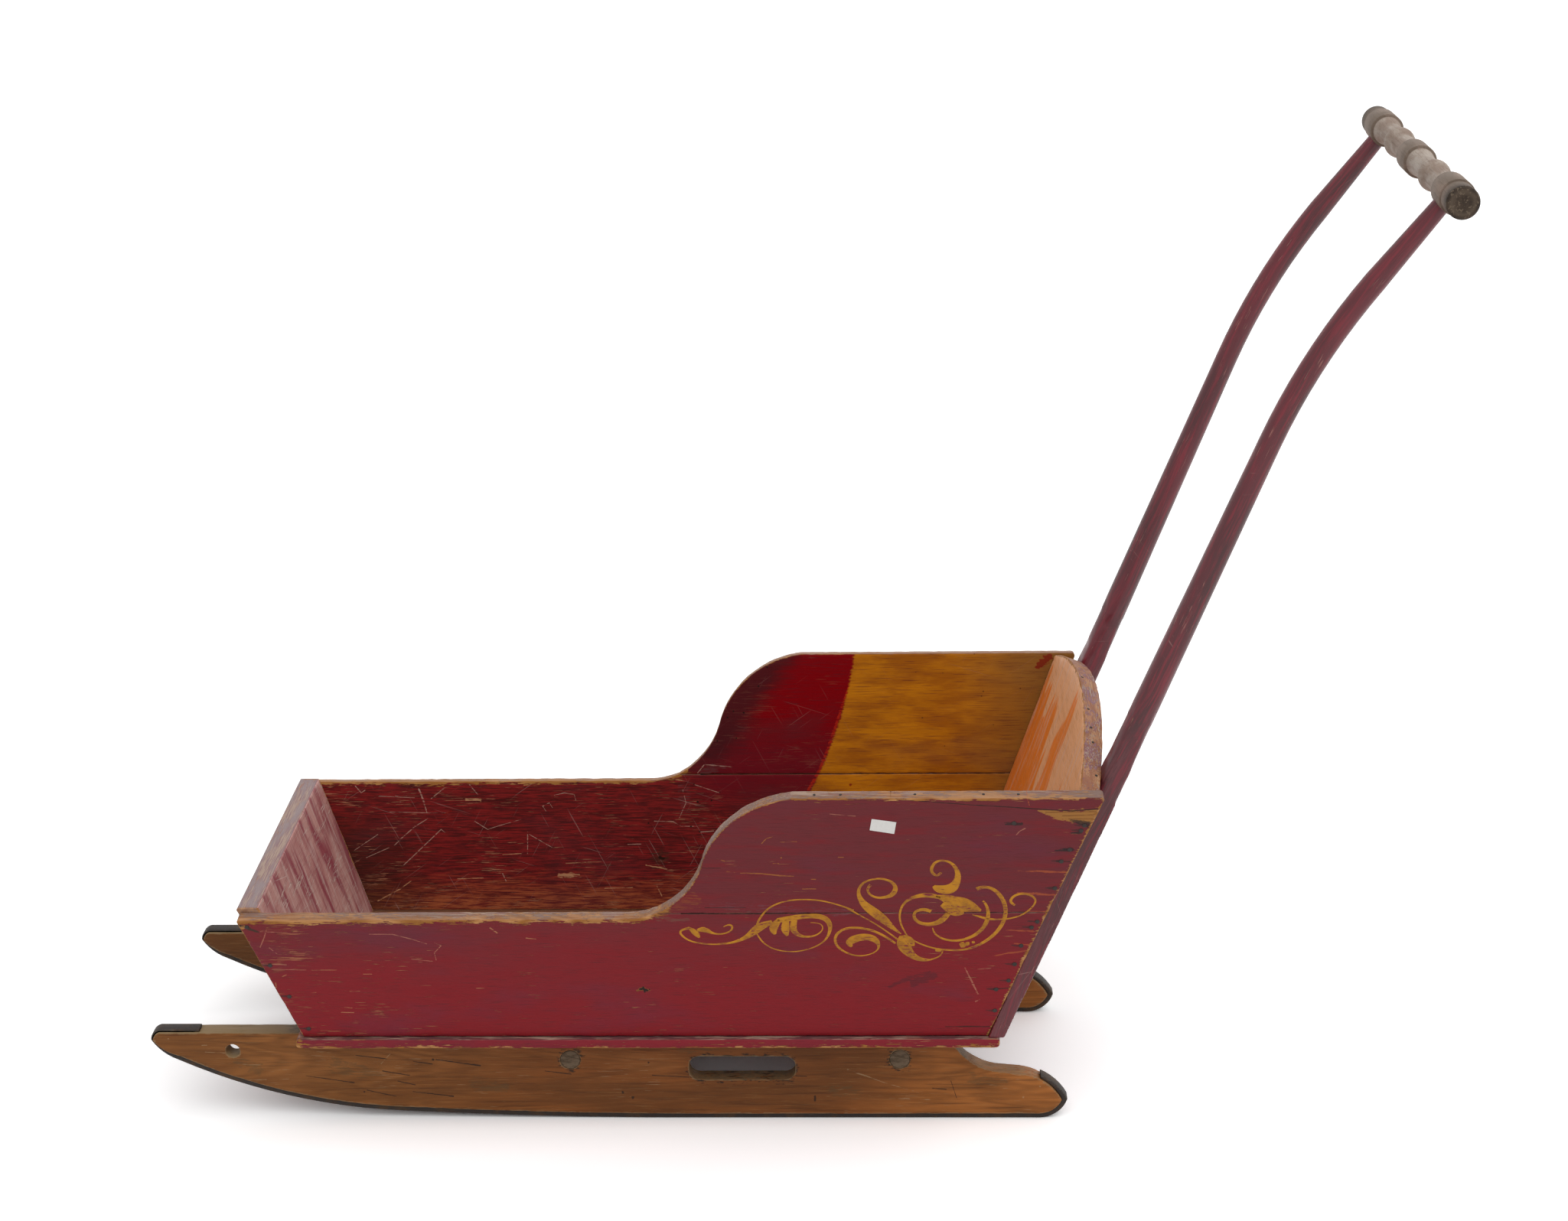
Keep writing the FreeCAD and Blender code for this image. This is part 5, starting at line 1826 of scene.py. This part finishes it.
@dataclass
class Undercarriage:
    """Runners, their iron shoes and the rungs between them."""

    nodes: dict[str, Object]
    groups: SharedGroups
    geometry: Geometry
    grid: float = 0.008
    runner_round: float = 0.001
    runner_wear: float = 0.0012
    runner_batter: tuple[float, float] = (0.0006, 0.004)
    far_shift: float = 0.9
    shoe_angle: float = 50
    shoe_round: float = 0.0013
    shoe_wear: float = 0.0008
    rung_round: float = 0.0008

    def build(self) -> None:
        """Build both runners, both shoes and both rungs."""
        left = Varnish("varnish left", NEAR_RUNNER).build(self.groups)
        right = Varnish("varnish right", FAR_RUNNER).build(self.groups)
        iron = WroughtIron().build(self.groups)
        rung = RungWood().build(self.groups)
        for side, varnish in ((Side.LEFT, left), (Side.RIGHT, right)):
            self.runner(f"runner_{side.label}", side, varnish)
            self.shoe(f"shoe_{side.label}", iron)
        for name in ("rung_front", "rung_rear"):
            self.rung(name, rung)

    def runner(self, name: str, side: Side, material: Material) -> None:
        """One plank runner.

        Args:
            name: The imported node.
            side: Which side it is on.
            material: Its finish.
        """
        piece = Bench.copy_node(self.nodes[name], f"{name}_wood")
        Bench.weather(piece, self.runner_round, (Vector((1, 0, 0)), Vector((0, 0, 1))), self.grid,
                      self.runner_wear, self.runner_batter)
        upward = Bench.normals(piece)[:, 2]
        Bench.number(piece, "rim", np.clip((upward - 0.3) / 0.4, 0, 1))
        x, y, z = Bench.points(piece).T
        Bench.grain(piece, np.stack([x, z, y + self.far_shift * (side is Side.RIGHT)], 1))
        Bench.finish(piece, "varnished_wood", material, name)

    def shoe(self, name: str, material: Material) -> None:
        """One iron shoe, rounded along both edges.

        Args:
            name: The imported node.
            material: Its finish.
        """
        piece = Bench.copy_node(self.nodes[name], f"{name}_strip")
        edges = Bench.sharp_edges(piece, self.shoe_angle)
        Bench.round_edges(piece, self.shoe_round, self.shoe_angle, 3)
        Bench.gap(piece, edges, self.shoe_wear)
        Bench.grain(piece, Bench.points(piece))
        Bench.finish(piece, "iron", material, name)

    def rung(self, name: str, material: Material) -> None:
        """One turned rung.

        Args:
            name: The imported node.
            material: Its finish.
        """
        piece = Bench.copy_node(self.nodes[name], f"{name}_turned")
        Bench.round_edges(piece, self.rung_round)
        spots = Bench.points(piece)
        middle = (spots[:, (2, 0)].max(0) + spots[:, (2, 0)].min(0)) / 2
        Bench.grain(piece, np.stack([spots[:, 1], *(spots[:, (2, 0)] - middle).T], 1))
        Bench.finish(piece, "varnished_wood", material, name)


@dataclass
class PushHandle:
    """The two bent rods and the turned grip."""

    nodes: dict[str, Object]
    groups: SharedGroups
    geometry: Geometry
    foot_y: float = 0.140
    splay: float = math.radians(1.58)
    sharp: float = 50
    voxel: float = 0.0016
    smoothing: float = 0.5
    smooth_passes: int = 5
    neck_passes: int = 40
    neck: tuple[float, float] = (0.275, 0.36)
    rod_wear: float = 0.0008
    far_shift: float = 0.6
    line: tuple = (
        (0.222, 0.0), (0.248, 0.09), (0.285, 0.2), (0.331, 0.3), (0.365, 0.3655), (0.425, 0.5175),
        (0.4686, 0.6205), (0.5069, 0.6995), (0.5456, 0.7575), (0.5947, 0.8205), (0.65, 0.89),
    )
    grip_round: float = 0.0007
    grip_wear: float = 0.0022
    end_cuts: tuple = ((0.003, -0.0002), (0.004, -0.0006), (0.002, 0.0003), (0.005, -0.0004))
    end_depth: float = 0.003
    end_ring: tuple[float, float] = (0.0075, 0.0105)
    end_ring_share: float = 0.6

    def build(self) -> None:
        """Build both handles and the grip."""
        paint = Gloss().build(self.groups)
        for side in Side:
            self.rod(f"handle_{side.label}", side, paint)
        self.grip(WeatheredWood().build(self.groups))

    def unbend(self, spots: np.ndarray, side: Side) -> np.ndarray:
        """Find places along and around a handle as if it were straight.

        Args:
            spots: Vertices.
            side: Which handle.

        Returns:
            Distance along its middle line, and the two distances from it.
        """
        y = spots[:, 1] * side.value - self.foot_y
        z = spots[:, 2] - self.geometry.floor_top
        across = y * math.cos(self.splay) - z * math.sin(self.splay)
        rise = z * math.cos(self.splay) + y * math.sin(self.splay)
        flat = np.stack([spots[:, 0], rise], 1)
        best = np.full(len(flat), np.inf)
        along = np.zeros(len(flat))
        off = np.zeros(len(flat))
        walked = 0.0
        for first, last in zip(self.line, self.line[1:]):
            start = np.array(first)
            run = np.array(last) - start
            length = float(np.hypot(*run))
            unit = run / length
            share = np.clip((flat - start) @ unit, 0, length)
            away = flat - start - share[:, None] * unit
            distance = np.linalg.norm(away, axis=1)
            closer = distance < best
            best = np.where(closer, distance, best)
            along = np.where(closer, walked + share, along)
            off = np.where(closer, (flat - start) @ np.array((-unit[1], unit[0])), off)
            walked += length
        return np.stack([along, off, across], 1)

    def rod(self, name: str, side: Side, material: Material) -> None:
        """One bar with its bent rod, its square foot worn smoothly into the round.

        Args:
            name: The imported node.
            side: Which side it is on.
            material: Its finish.
        """
        piece = Bench.copy_node(self.nodes[name], f"{name}_rod")
        edges = Bench.sharp_edges(piece, self.sharp)
        Bench.apply(piece, "REMESH", mode="VOXEL", voxel_size=self.voxel)
        Bench.apply(piece, "SMOOTH", factor=self.smoothing, iterations=self.smooth_passes)
        along = self.unbend(Bench.points(piece), side)[:, 0]
        neck = np.flatnonzero((along > self.neck[0]) & (along < self.neck[1]))
        piece.vertex_groups.new(name="neck").add([int(n) for n in neck], 1.0, "ADD")
        Bench.apply(piece, "SMOOTH", factor=self.smoothing, iterations=self.neck_passes, vertex_group="neck")
        Bench.gap(piece, edges, self.rod_wear)
        grain = self.unbend(Bench.points(piece), side)
        grain[:, 2] += self.far_shift * (side is Side.RIGHT)
        Bench.grain(piece, grain)
        Bench.finish(piece, "maroon_paint", material, name)

    def grip(self, material: Material) -> None:
        """The turned grip, with a shallow groove cut round each end.

        Args:
            material: Its finish.
        """
        piece = Bench.copy_node(self.nodes["grip"], "grip_turned")
        edges = Bench.sharp_edges(piece)
        Bench.round_edges(piece, self.grip_round)
        end = max(abs(v.co.y) for v in piece.data.vertices)
        middle = Vector((self.geometry.grip_x, 0, self.geometry.grip_z))

        def central(face: MeshPolygon) -> bool:
            """Tell whether a face is the flat middle of an end."""
            off = (face.center - middle).xz.length
            return abs(face.normal.y) > 0.99 and abs(face.center.y) > end - 0.002 and off < 0.001

        for thickness, depth in self.end_cuts:
            with Bench.edit(piece, central):
                bpy.ops.mesh.inset(thickness=thickness, depth=depth)
        Bench.gap(piece, edges, self.grip_wear)
        spots = Bench.points(piece) - np.array(middle)
        radius = np.hypot(spots[:, 0], spots[:, 2])
        outside = np.abs(spots[:, 1]) > end - self.end_depth
        ring = outside & (radius > self.end_ring[0]) & (radius < self.end_ring[1])
        Bench.number(piece, "end", outside.astype(float))
        Bench.number(piece, "end_ring", ring * self.end_ring_share)
        Bench.grain(piece, spots[:, (1, 0, 2)])
        Bench.finish(piece, "bare_wood", material, "grip")


STROKES = (
    # tip hook
    (-43.7, 132.6, 0.6, -39.6, 135.3, 1.5, -35.7, 134.4, 2, -35.1, 129.9, 1.7, -39.7, 125.7, 1.5,
     -47.1, 123.7, 1.5, -54.4, 124.9, 2, -59.8, 128.5, 4.9, -64.6, 130, 5.7, -69.2, 128.5, 2.5),
    # tip lobe
    (-76.8, 131.3, 2.2, -72.7, 127.8, 5.4, -69.7, 123.7, 5.4, -67.4, 120, 2),
    # long stem
    (-76.2, 131.5, 2.7, -81.8, 130.1, 2.2, -85.6, 127.8, 2, -85.5, 123.8, 2, -79.2, 117.3, 1.7,
     -70.7, 113.8, 1.5, -58.5, 112, 1.5, -46.2, 112.2, 1.7, -36.4, 113.7, 2.2, -27.7, 117.1, 3.2,
     -20.2, 121.6, 4.9, -13.3, 128.4, 7.7, -7.7, 133.4, 7.7, -1.5, 136.1, 5.7, 3.4, 138.5, 3.7),
    # big loop
    (-13.3, 126.9, 1.5, -11.9, 134.3, 2, -8.7, 142.5, 1.9, -2.4, 151.9, 1.7, 4.5, 157.6, 1.6,
     16.1, 162.8, 1.5, 30.7, 164.6, 1.4, 46.5, 163.9, 1.4, 59.8, 160.6, 1.4, 73.1, 155.6, 1.5,
     81.5, 151.6, 1.7),
    # big loop end
    (75.4, 154.1, 1.9, 89.1, 144.8, 1.2, 102.1, 135.9, 1.2, 115.2, 125.1, 1.5, 123.7, 117.3, 1.6),
    # loop under
    (-13, 126.9, 1.2, -10.4, 120.8, 1.4, -5.7, 113.3, 1.4, 2.7, 106.5, 1.2, 14.9, 103, 1.1, 27.2, 102.9, 1.1,
     41.9, 107.1, 1.2, 53.1, 114.9, 1.5, 58.1, 124.4, 2.5, 59.2, 134.1, 4.2, 55.9, 141.3, 5.2,
     48.6, 144.9, 5.2, 37.7, 145.2, 4.7, 26.7, 143.8, 5.4, 16.9, 141.4, 5.7, 8.3, 139.9, 4.9),
    # lobe one
    (10.2, 140.8, 4.4, 5.2, 134.3, 7.4, 3.8, 128.3, 6.9, 5.8, 123.8, 2.5),
    # lobe two
    (16.9, 140.8, 4.9, 15.5, 132.7, 7.4, 16, 126.8, 6.7, 17.5, 122, 2.2),
    # lobe three
    (24.8, 140.8, 4.9, 22.6, 132.4, 6.4, 25.1, 125.2, 4.7, 31.2, 121, 2.7, 38.5, 120.4, 2, 45.8, 122.5, 1.5,
     51, 127.4, 1.1, 52.1, 132.6, 1, 48.5, 137.1, 0.7, 40, 137.4, 0.5),
    # comma
    (121.7, 112.5, 1.9, 115.2, 118.1, 2.4, 106, 124.6, 2.4, 95.5, 129.5, 2.4, 83.7, 131.5, 2.4,
     73.2, 130.4, 2.4, 65.5, 124.8, 2.7, 62.9, 117.5, 2.4, 65.1, 109.4, 2.4, 71.6, 102.9, 1.9,
     80.8, 98.3, 1.5, 90, 97.6, 1.2, 99.3, 100.3, 1.1, 104.9, 105.2, 1.2, 105.7, 110.9, 2.9, 102.7, 117, 5.9,
     95.5, 120.3, 6.9, 86.3, 119.8, 7.2, 78.3, 115.8, 7.4, 77, 111.8, 5.9, 79.6, 109, 2.4),
    # upper scroll
    (127, 123.8, 1.1, 119.1, 130.5, 3.7, 111.3, 139.9, 7.7, 102.2, 148.3, 8.8, 93.1, 156.7, 7.2,
     87.9, 164.7, 4.5, 86, 172.7, 2.9, 88, 180.1, 2.4, 93.2, 185.3, 2, 101, 187.9, 1.7, 108.8, 188.4, 1.9,
     116.6, 185.7, 2.4, 121.2, 180.9, 3.2, 121.8, 174.9, 4.5, 118.5, 169.4, 4.3, 112.7, 166.7, 2.9,
     104.8, 165.8, 2.3, 98.3, 168.7, 2, 95.1, 173.4, 2, 95.3, 178.2, 2.4, 98.1, 181.3, 2.9),
    # hub
    (127.3, 121.8, 3.2, 127.7, 116.5, 8.8, 129.6, 110, 10.9, 133.6, 103, 9, 137.8, 98.1, 6.4,
     143.5, 94.2, 4.8, 150.1, 92.5, 3.2, 157.4, 93.5, 1.6, 163.3, 96.4, 1.2, 166.6, 100.2, 1.1,
     167.1, 103.9, 1.1),
    # hub lobe
    (129, 120.5, 4, 134.2, 118.6, 6.1, 137.8, 113.2, 5.3, 137.8, 109.5, 4),
    # ball
    (159.9, 104.6, 3.5, 162.8, 104.7, 4.8, 166, 104.1, 3.2),
    # great arc
    (132.3, 120.5, 1.2, 141.5, 114, 1.5, 152, 108.8, 1.6, 162.6, 105.5, 1.6, 174.4, 104.2, 1.6,
     185, 104.2, 1.9, 195.5, 107, 2.4, 207.2, 113.8, 2.9, 217.5, 123.5, 3.2, 224.5, 135.5, 3.5,
     227.3, 147.5, 3.7, 226.1, 158.7, 3.7, 221.3, 169, 3.7, 214.7, 176.1, 3.2, 207.5, 178.5, 2.7,
     201.7, 177.5, 3.7, 198.7, 175.9, 3.5),
    # left arc
    (133.6, 120.2, 1.2, 128.3, 130.2, 1.6, 125.7, 139.8, 1.7, 125.7, 149.5, 1.9, 128.3, 157.4, 2.1,
     133.5, 163.8, 2.7, 141.3, 167.7, 3.7, 149.1, 169.1, 4.5, 156.9, 168.4, 4.8, 164.8, 166.5, 4),
    # crown
    (157.9, 179.8, 2.7, 160.1, 177.1, 6.7, 167.3, 175.1, 8.5, 175.1, 176.3, 9.6, 179.6, 183.4, 6.7,
     181.2, 191.2, 5.1, 179.8, 198.3, 3.7, 176.1, 204.6, 2.7, 170.9, 208.1, 2.1, 165.1, 209.3, 2,
     159.3, 207, 2.4, 156, 201.6, 2.9, 155.8, 196.1, 2.7, 158.8, 192.1, 2.4, 162.8, 192.1, 2.7,
     165.1, 195.2, 2.1),
    # feather
    (160.2, 168.1, 2.9, 170, 165.2, 8, 179.1, 160.1, 12.2, 187, 157.5, 13.3, 194.8, 155, 9.6,
     203.4, 150.8, 2.1),
    # feather low
    (166.1, 158.9, 5.3, 174, 152.5, 9.3, 181.2, 148.3, 8.5, 187.1, 148.9, 3.2),
    # inner curl
    (172.1, 147.7, 4.8, 167.6, 140.5, 5.6, 159.8, 135.7, 4.5, 151.9, 134.6, 3.7, 144, 136.9, 3.2,
     139.4, 142.2, 2.9, 139.4, 148.6, 2.5, 144, 151.8, 2.9, 150.5, 152.6, 3.5, 155.5, 150, 3.5),
    # inner arc
    (157.2, 130.9, 0.8, 158.1, 125.6, 1.6, 163.1, 120.1, 1.9, 170.4, 116.4, 2.1, 179.6, 115.2, 2.3,
     188.8, 117.1, 2.7, 197.9, 121.9, 3.2, 205, 129.1, 3.5, 209.2, 138, 4, 210.6, 146, 3.5, 209.5, 153.9, 2.7,
     207, 160, 2.1, 204.9, 162.2, 1.6),
    # tail
    (195, 146.3, 1.1, 204.1, 142.8, 2.7, 213.3, 140.4, 2.7, 223.8, 140.3, 1.7, 232.9, 141.9, 1.5,
     242, 145.1, 1.5, 249.6, 151.4, 1.5, 254.7, 158.6, 1.7, 255.2, 164.1, 2, 250.5, 168.9, 2.3,
     242.7, 170.7, 2.3, 235.6, 168.8, 2.4, 231.5, 164.2, 2.4, 231.5, 159.9, 2.7, 235.5, 157, 1.9),
    # berry one
    (183.9, 109.4, 4.5, 186.5, 110.6, 7.4, 188.6, 111.9, 4.5),
    # berry two
    (189.1, 111.3, 3.2, 191.2, 112.2, 5.1, 192.8, 112.2, 2.7),
    # berry three
    (195.1, 113.4, 1.9, 196.4, 113.7, 3.5, 198, 114, 1.9),
)


@dataclass
class Decoration:
    """Gold scrolls, nails and the paper label on the box's sides."""

    groups: SharedGroups
    geometry: Geometry
    boards: dict[str, Object]
    paint_gauge: float = 0.0003
    paint_sink: float = 0.0002
    paint_crown: float = 0.15
    stroke_spare: float = 0.1
    lobe_spare: float = 0.018
    nail_radius: float = 0.0023
    tack_radius: float = 0.0014
    head_height: float = 0.0012
    head_round: float = 0.0005
    head_angle: float = 50
    tack_rise: float = 0.33
    arch_place: tuple[float, float] = (0.312, 0.6)
    label_corners: tuple = ((99.4, 256.4), (122.5, 252.7), (120.5, 239.5), (97.4, 243.8))
    label_lift: tuple[float, float, float] = (0.0003, 0.0012, 1.6)
    label_gauge: float = 0.00015
    rim_tacks: tuple = (45.7, 70.3, 140.0, 204.1, 236.7)
    arch_tacks: tuple = (29.9, -52.0, -86.0, -110.5, -156.7)

    def build(self) -> None:
        """Dress both sides."""
        gold = GoldPaint().build(self.groups)
        iron = PlainSpot("nail iron", "3A302C", "1E1816", 0.5, 0.4).build(self.groups)
        for side in Side:
            self.scroll(side, gold)
            self.nails(side, iron)
        self.tacks(iron)
        self.label(PlainSpot("blank paper", "E6E4E0", "D6D3CE", 0.7).build(self.groups))

    def scroll(self, side: Side, gold: Material) -> None:
        """Paint the scroll ornament of one side, one swelling stroke at a time.

        Args:
            side: Which side.
            gold: Its material.
        """
        strokes = []
        for stroke in map(points, STROKES):
            bpy.ops.object.select_all(action="DESELECT")
            curve = bpy.data.curves.new("stroke", "CURVE")
            curve.dimensions = "3D"
            curve.twist_mode = "Z_UP"
            curve.bevel_depth = 1.0
            curve.bevel_resolution = 1
            curve.use_fill_caps = True
            curve.resolution_u = 5
            spline = curve.splines.new("NURBS")
            spline.points.add(len(stroke) - 1)
            for point, (x, rise, width) in zip(spline.points, stroke):
                point.co = (x * MM, rise * MM, 0, 1)
                point.radius = (width * (1 + self.lobe_spare * width) + self.stroke_spare) * MM / 2
            spline.order_u = 3
            spline.use_endpoint_u = True
            item = bpy.data.objects.new("stroke", curve)
            bpy.context.scene.collection.objects.link(item)
            strokes.append(item)
        Bench.select(*strokes)
        bpy.ops.object.convert(target="MESH")
        bpy.ops.object.join()
        piece = bpy.context.view_layer.objects.active
        piece.name = f"scroll_{side.label}"
        piece.data.name = piece.name
        widest = max(max(stroke[2::3]) for stroke in STROKES) * MM / 2
        spots = Bench.points(piece)
        Bench.grain(piece, spots)
        for vertex, (x, rise, proud) in zip(piece.data.vertices, spots):
            lift = self.paint_gauge * math.copysign(min(1.0, abs(proud) / (self.paint_crown * widest)), proud)
            vertex.co = self.geometry.on_side(side, x, rise, max(lift, -self.paint_sink))
        with Bench.edit(piece):
            bpy.ops.mesh.normals_make_consistent(inside=False)
        Bench.finish(piece, "", gold)

    def heads(self, name: str, radius: float, seats: Sequence[tuple[Vector, Vector]],
              iron: Material) -> None:
        """Drive nails at some places.

        Args:
            name: Name of the piece that they make up.
            radius: Radius of a head.
            seats: Place and normal of the wood below each head.
            iron: Their material.
        """
        first = Bench.add(bpy.ops.mesh.primitive_cylinder_add, vertices=12, radius=radius,
                          depth=self.head_height, location=(0, 0, 0))
        Bench.round_edges(first, self.head_round, self.head_angle)
        heads = []
        for place, normal in seats:
            head = bpy.data.objects.new("nail", first.data.copy())
            bpy.context.scene.collection.objects.link(head)
            turn = Vector((0, 0, 1)).rotation_difference(normal).to_matrix().to_4x4()
            head.data.transform(Matrix.Translation(place) @ turn)
            heads.append(head)
        bpy.data.objects.remove(first)
        Bench.select(*heads)
        bpy.ops.object.join()
        piece = bpy.context.view_layer.objects.active
        piece.name = name
        piece.data.name = name
        Bench.finish(piece, "iron", iron)

    def nails(self, side: Side, iron: Material) -> None:
        """Drive the nails along the ends of one side.

        Args:
            side: Which side.
            iron: Their material.
        """
        away = self.geometry.outward(side)
        seats = [(self.geometry.on_side(side, x * MM, rise * MM), away) for x, rise in NAILS]
        self.heads(f"nails_{side.label}", self.nail_radius, seats, iron)

    def tacks(self, iron: Material) -> None:
        """Drive small tacks into the near side's top edge and the back panel's arched edge.

        Args:
            iron: Their material.
        """
        down = Vector((0, 0, -1))
        middle = -self.geometry.side_gauge / 2
        seats = []
        for x in self.rim_tacks:
            start = self.geometry.on_side(Side.LEFT, x * MM, self.tack_rise, middle)
            aim = self.geometry.on_side(Side.LEFT, x * MM, 0, middle) - start
            seats.append(Bench.hit(self.boards["side_upper_left"], start, aim.normalized()))
        for y in self.arch_tacks:
            start = Vector((self.arch_place[0], y * MM, self.arch_place[1]))
            seats.append(Bench.hit(self.boards["back_panel"], start, down))
        self.heads("tacks", self.tack_radius, seats, iron)

    def label(self, paper: Material) -> None:
        """Stick a small blank paper label on the near side, with one corner slightly lifted.

        Args:
            paper: Its material.
        """
        piece = Bench.add(bpy.ops.mesh.primitive_plane_add, size=1, location=(0.5, 0.5, 0))
        bpy.ops.object.transform_apply(location=True)
        with Bench.edit(piece):
            bpy.ops.mesh.subdivide(number_cuts=9)
        top_left, top_right, low_right, low_left = (np.array(corner) for corner in self.label_corners)
        flat, lifted, start = self.label_lift
        for vertex in piece.data.vertices:
            u, v, _ = vertex.co
            low, top = low_left * (1 - u) + low_right * u, top_left * (1 - u) + top_right * u
            x, rise = low * (1 - v) + top * v
            lift = flat + lifted * max(0.0, u + v - start) ** 2
            vertex.co = self.geometry.on_side(Side.LEFT, x * MM, rise * MM, lift)
        Bench.apply(piece, "SOLIDIFY", thickness=self.label_gauge, offset=0)
        piece.name = "paper_label"
        piece.data.name = "paper_label"
        Bench.grain(piece, Bench.points(piece))
        Bench.finish(piece, "", paper)


@dataclass
class Studio:
    """White floor, soft light and the photograph's viewpoint."""

    camera_place: tuple = (0.09898, -2.56664, 1.41065)
    azimuth: float = math.radians(-1.895)
    drop: float = math.radians(19.511)
    roll: float = math.radians(-0.990)
    lens: float = 63.25
    sensor: float = 36
    sight: float = 100
    world_light: float = 0.45
    lights: tuple = (("key light", (32, 0, 24), 1.75, 70), ("fill light", (50, 0, 150), 0.4, 90))
    floor_size: float = 60
    floor_grey: float = 0.8
    floor_seen: float = 1.32

    def build(self) -> None:
        """Set the camera, the lamps, the world and the floor."""
        self.camera()
        self.lamps()
        self.world()
        self.floor()

    def camera(self) -> None:
        """Set the camera at the photograph's place."""
        camera = Bench.add(bpy.ops.object.camera_add, location=self.camera_place)
        ahead = Vector((math.sin(self.azimuth) * math.cos(self.drop),
                        math.cos(self.azimuth) * math.cos(self.drop), -math.sin(self.drop)))
        level = Vector((math.cos(self.azimuth), -math.sin(self.azimuth), 0))
        above = level.cross(ahead)
        right = level * math.cos(self.roll) + above * math.sin(self.roll)
        up = above * math.cos(self.roll) - level * math.sin(self.roll)
        turn = Matrix((right, up, -ahead)).transposed()
        camera.matrix_world = Matrix.Translation(self.camera_place) @ turn.to_4x4()
        camera.data.lens = self.lens
        camera.data.sensor_width = self.sensor
        camera.data.clip_end = self.sight
        bpy.context.scene.camera = camera

    def lamps(self) -> None:
        """Add two wide soft lamps."""
        for name, turn, strength, spread in self.lights:
            lamp = Bench.add(bpy.ops.object.light_add, type="SUN",
                             rotation=Euler([math.radians(angle) for angle in turn]))
            lamp.name = name
            lamp.data.energy = strength
            lamp.data.angle = math.radians(spread)

    def world(self) -> None:
        """Light everything evenly, and put white behind it."""
        world = bpy.data.worlds.new("studio")
        world.use_nodes = True
        bpy.context.scene.world = world
        sheet = NodeSheet(world.node_tree)
        ground = world.node_tree.nodes["Background"]
        share = sheet.scaled(self.seen(sheet), 1.0 - self.world_light, self.world_light)
        sheet.feed(ground.inputs["Strength"], share)
        ground.inputs["Color"].default_value = (1, 1, 1, 1)

    def seen(self, sheet: NodeSheet) -> NodeSocket:
        """Tell the rays that show a surface from the light that it sends on.

        Args:
            sheet: Sheet of the world or of a material.

        Returns:
            Socket that is 1 for the camera and for what metal and glass show.
        """
        camera, glossy, through = (sheet.node("LightPath").outputs[f"Is {kind} Ray"]
                                   for kind in ("Camera", "Glossy", "Transmission"))
        return sheet.math("MAXIMUM", sheet.math("MAXIMUM", camera, glossy), through)

    def floor(self) -> None:
        """Lay a pale floor that looks white where nothing shades it."""
        floor = Bench.add(bpy.ops.mesh.primitive_plane_add, size=self.floor_size, location=(0, 0, 0))
        floor.name = "studio_floor"
        material = bpy.data.materials.new("studio floor")
        material.use_nodes = True
        tree = material.node_tree
        tree.nodes.clear()
        sheet = NodeSheet(tree)
        colours = [(grey, grey, grey, 1.0) for grey in (self.floor_grey, self.floor_seen)]
        plain = sheet.node("BsdfDiffuse", None, Color=sheet.mix(self.seen(sheet), *colours))
        leave = tree.nodes.new("ShaderNodeOutputMaterial")
        tree.links.new(plain.outputs[0], leave.inputs[0])
        floor.data.materials.append(material)


def main() -> None:
    """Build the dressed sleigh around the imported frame."""
    logging.basicConfig(level=logging.INFO, format="%(message)s")
    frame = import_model()
    scene = bpy.context.scene
    scene.view_settings.view_transform = "Standard"
    groups = SharedGroups()
    geometry = Geometry()
    Studio().build()
    Undercarriage(frame["nodes"], groups, geometry).build()
    box = Box(frame["nodes"], groups, geometry)
    box.build()
    PushHandle(frame["nodes"], groups, geometry).build()
    Decoration(groups, geometry, box.boards).build()


if __name__ == "__main__":
    main()
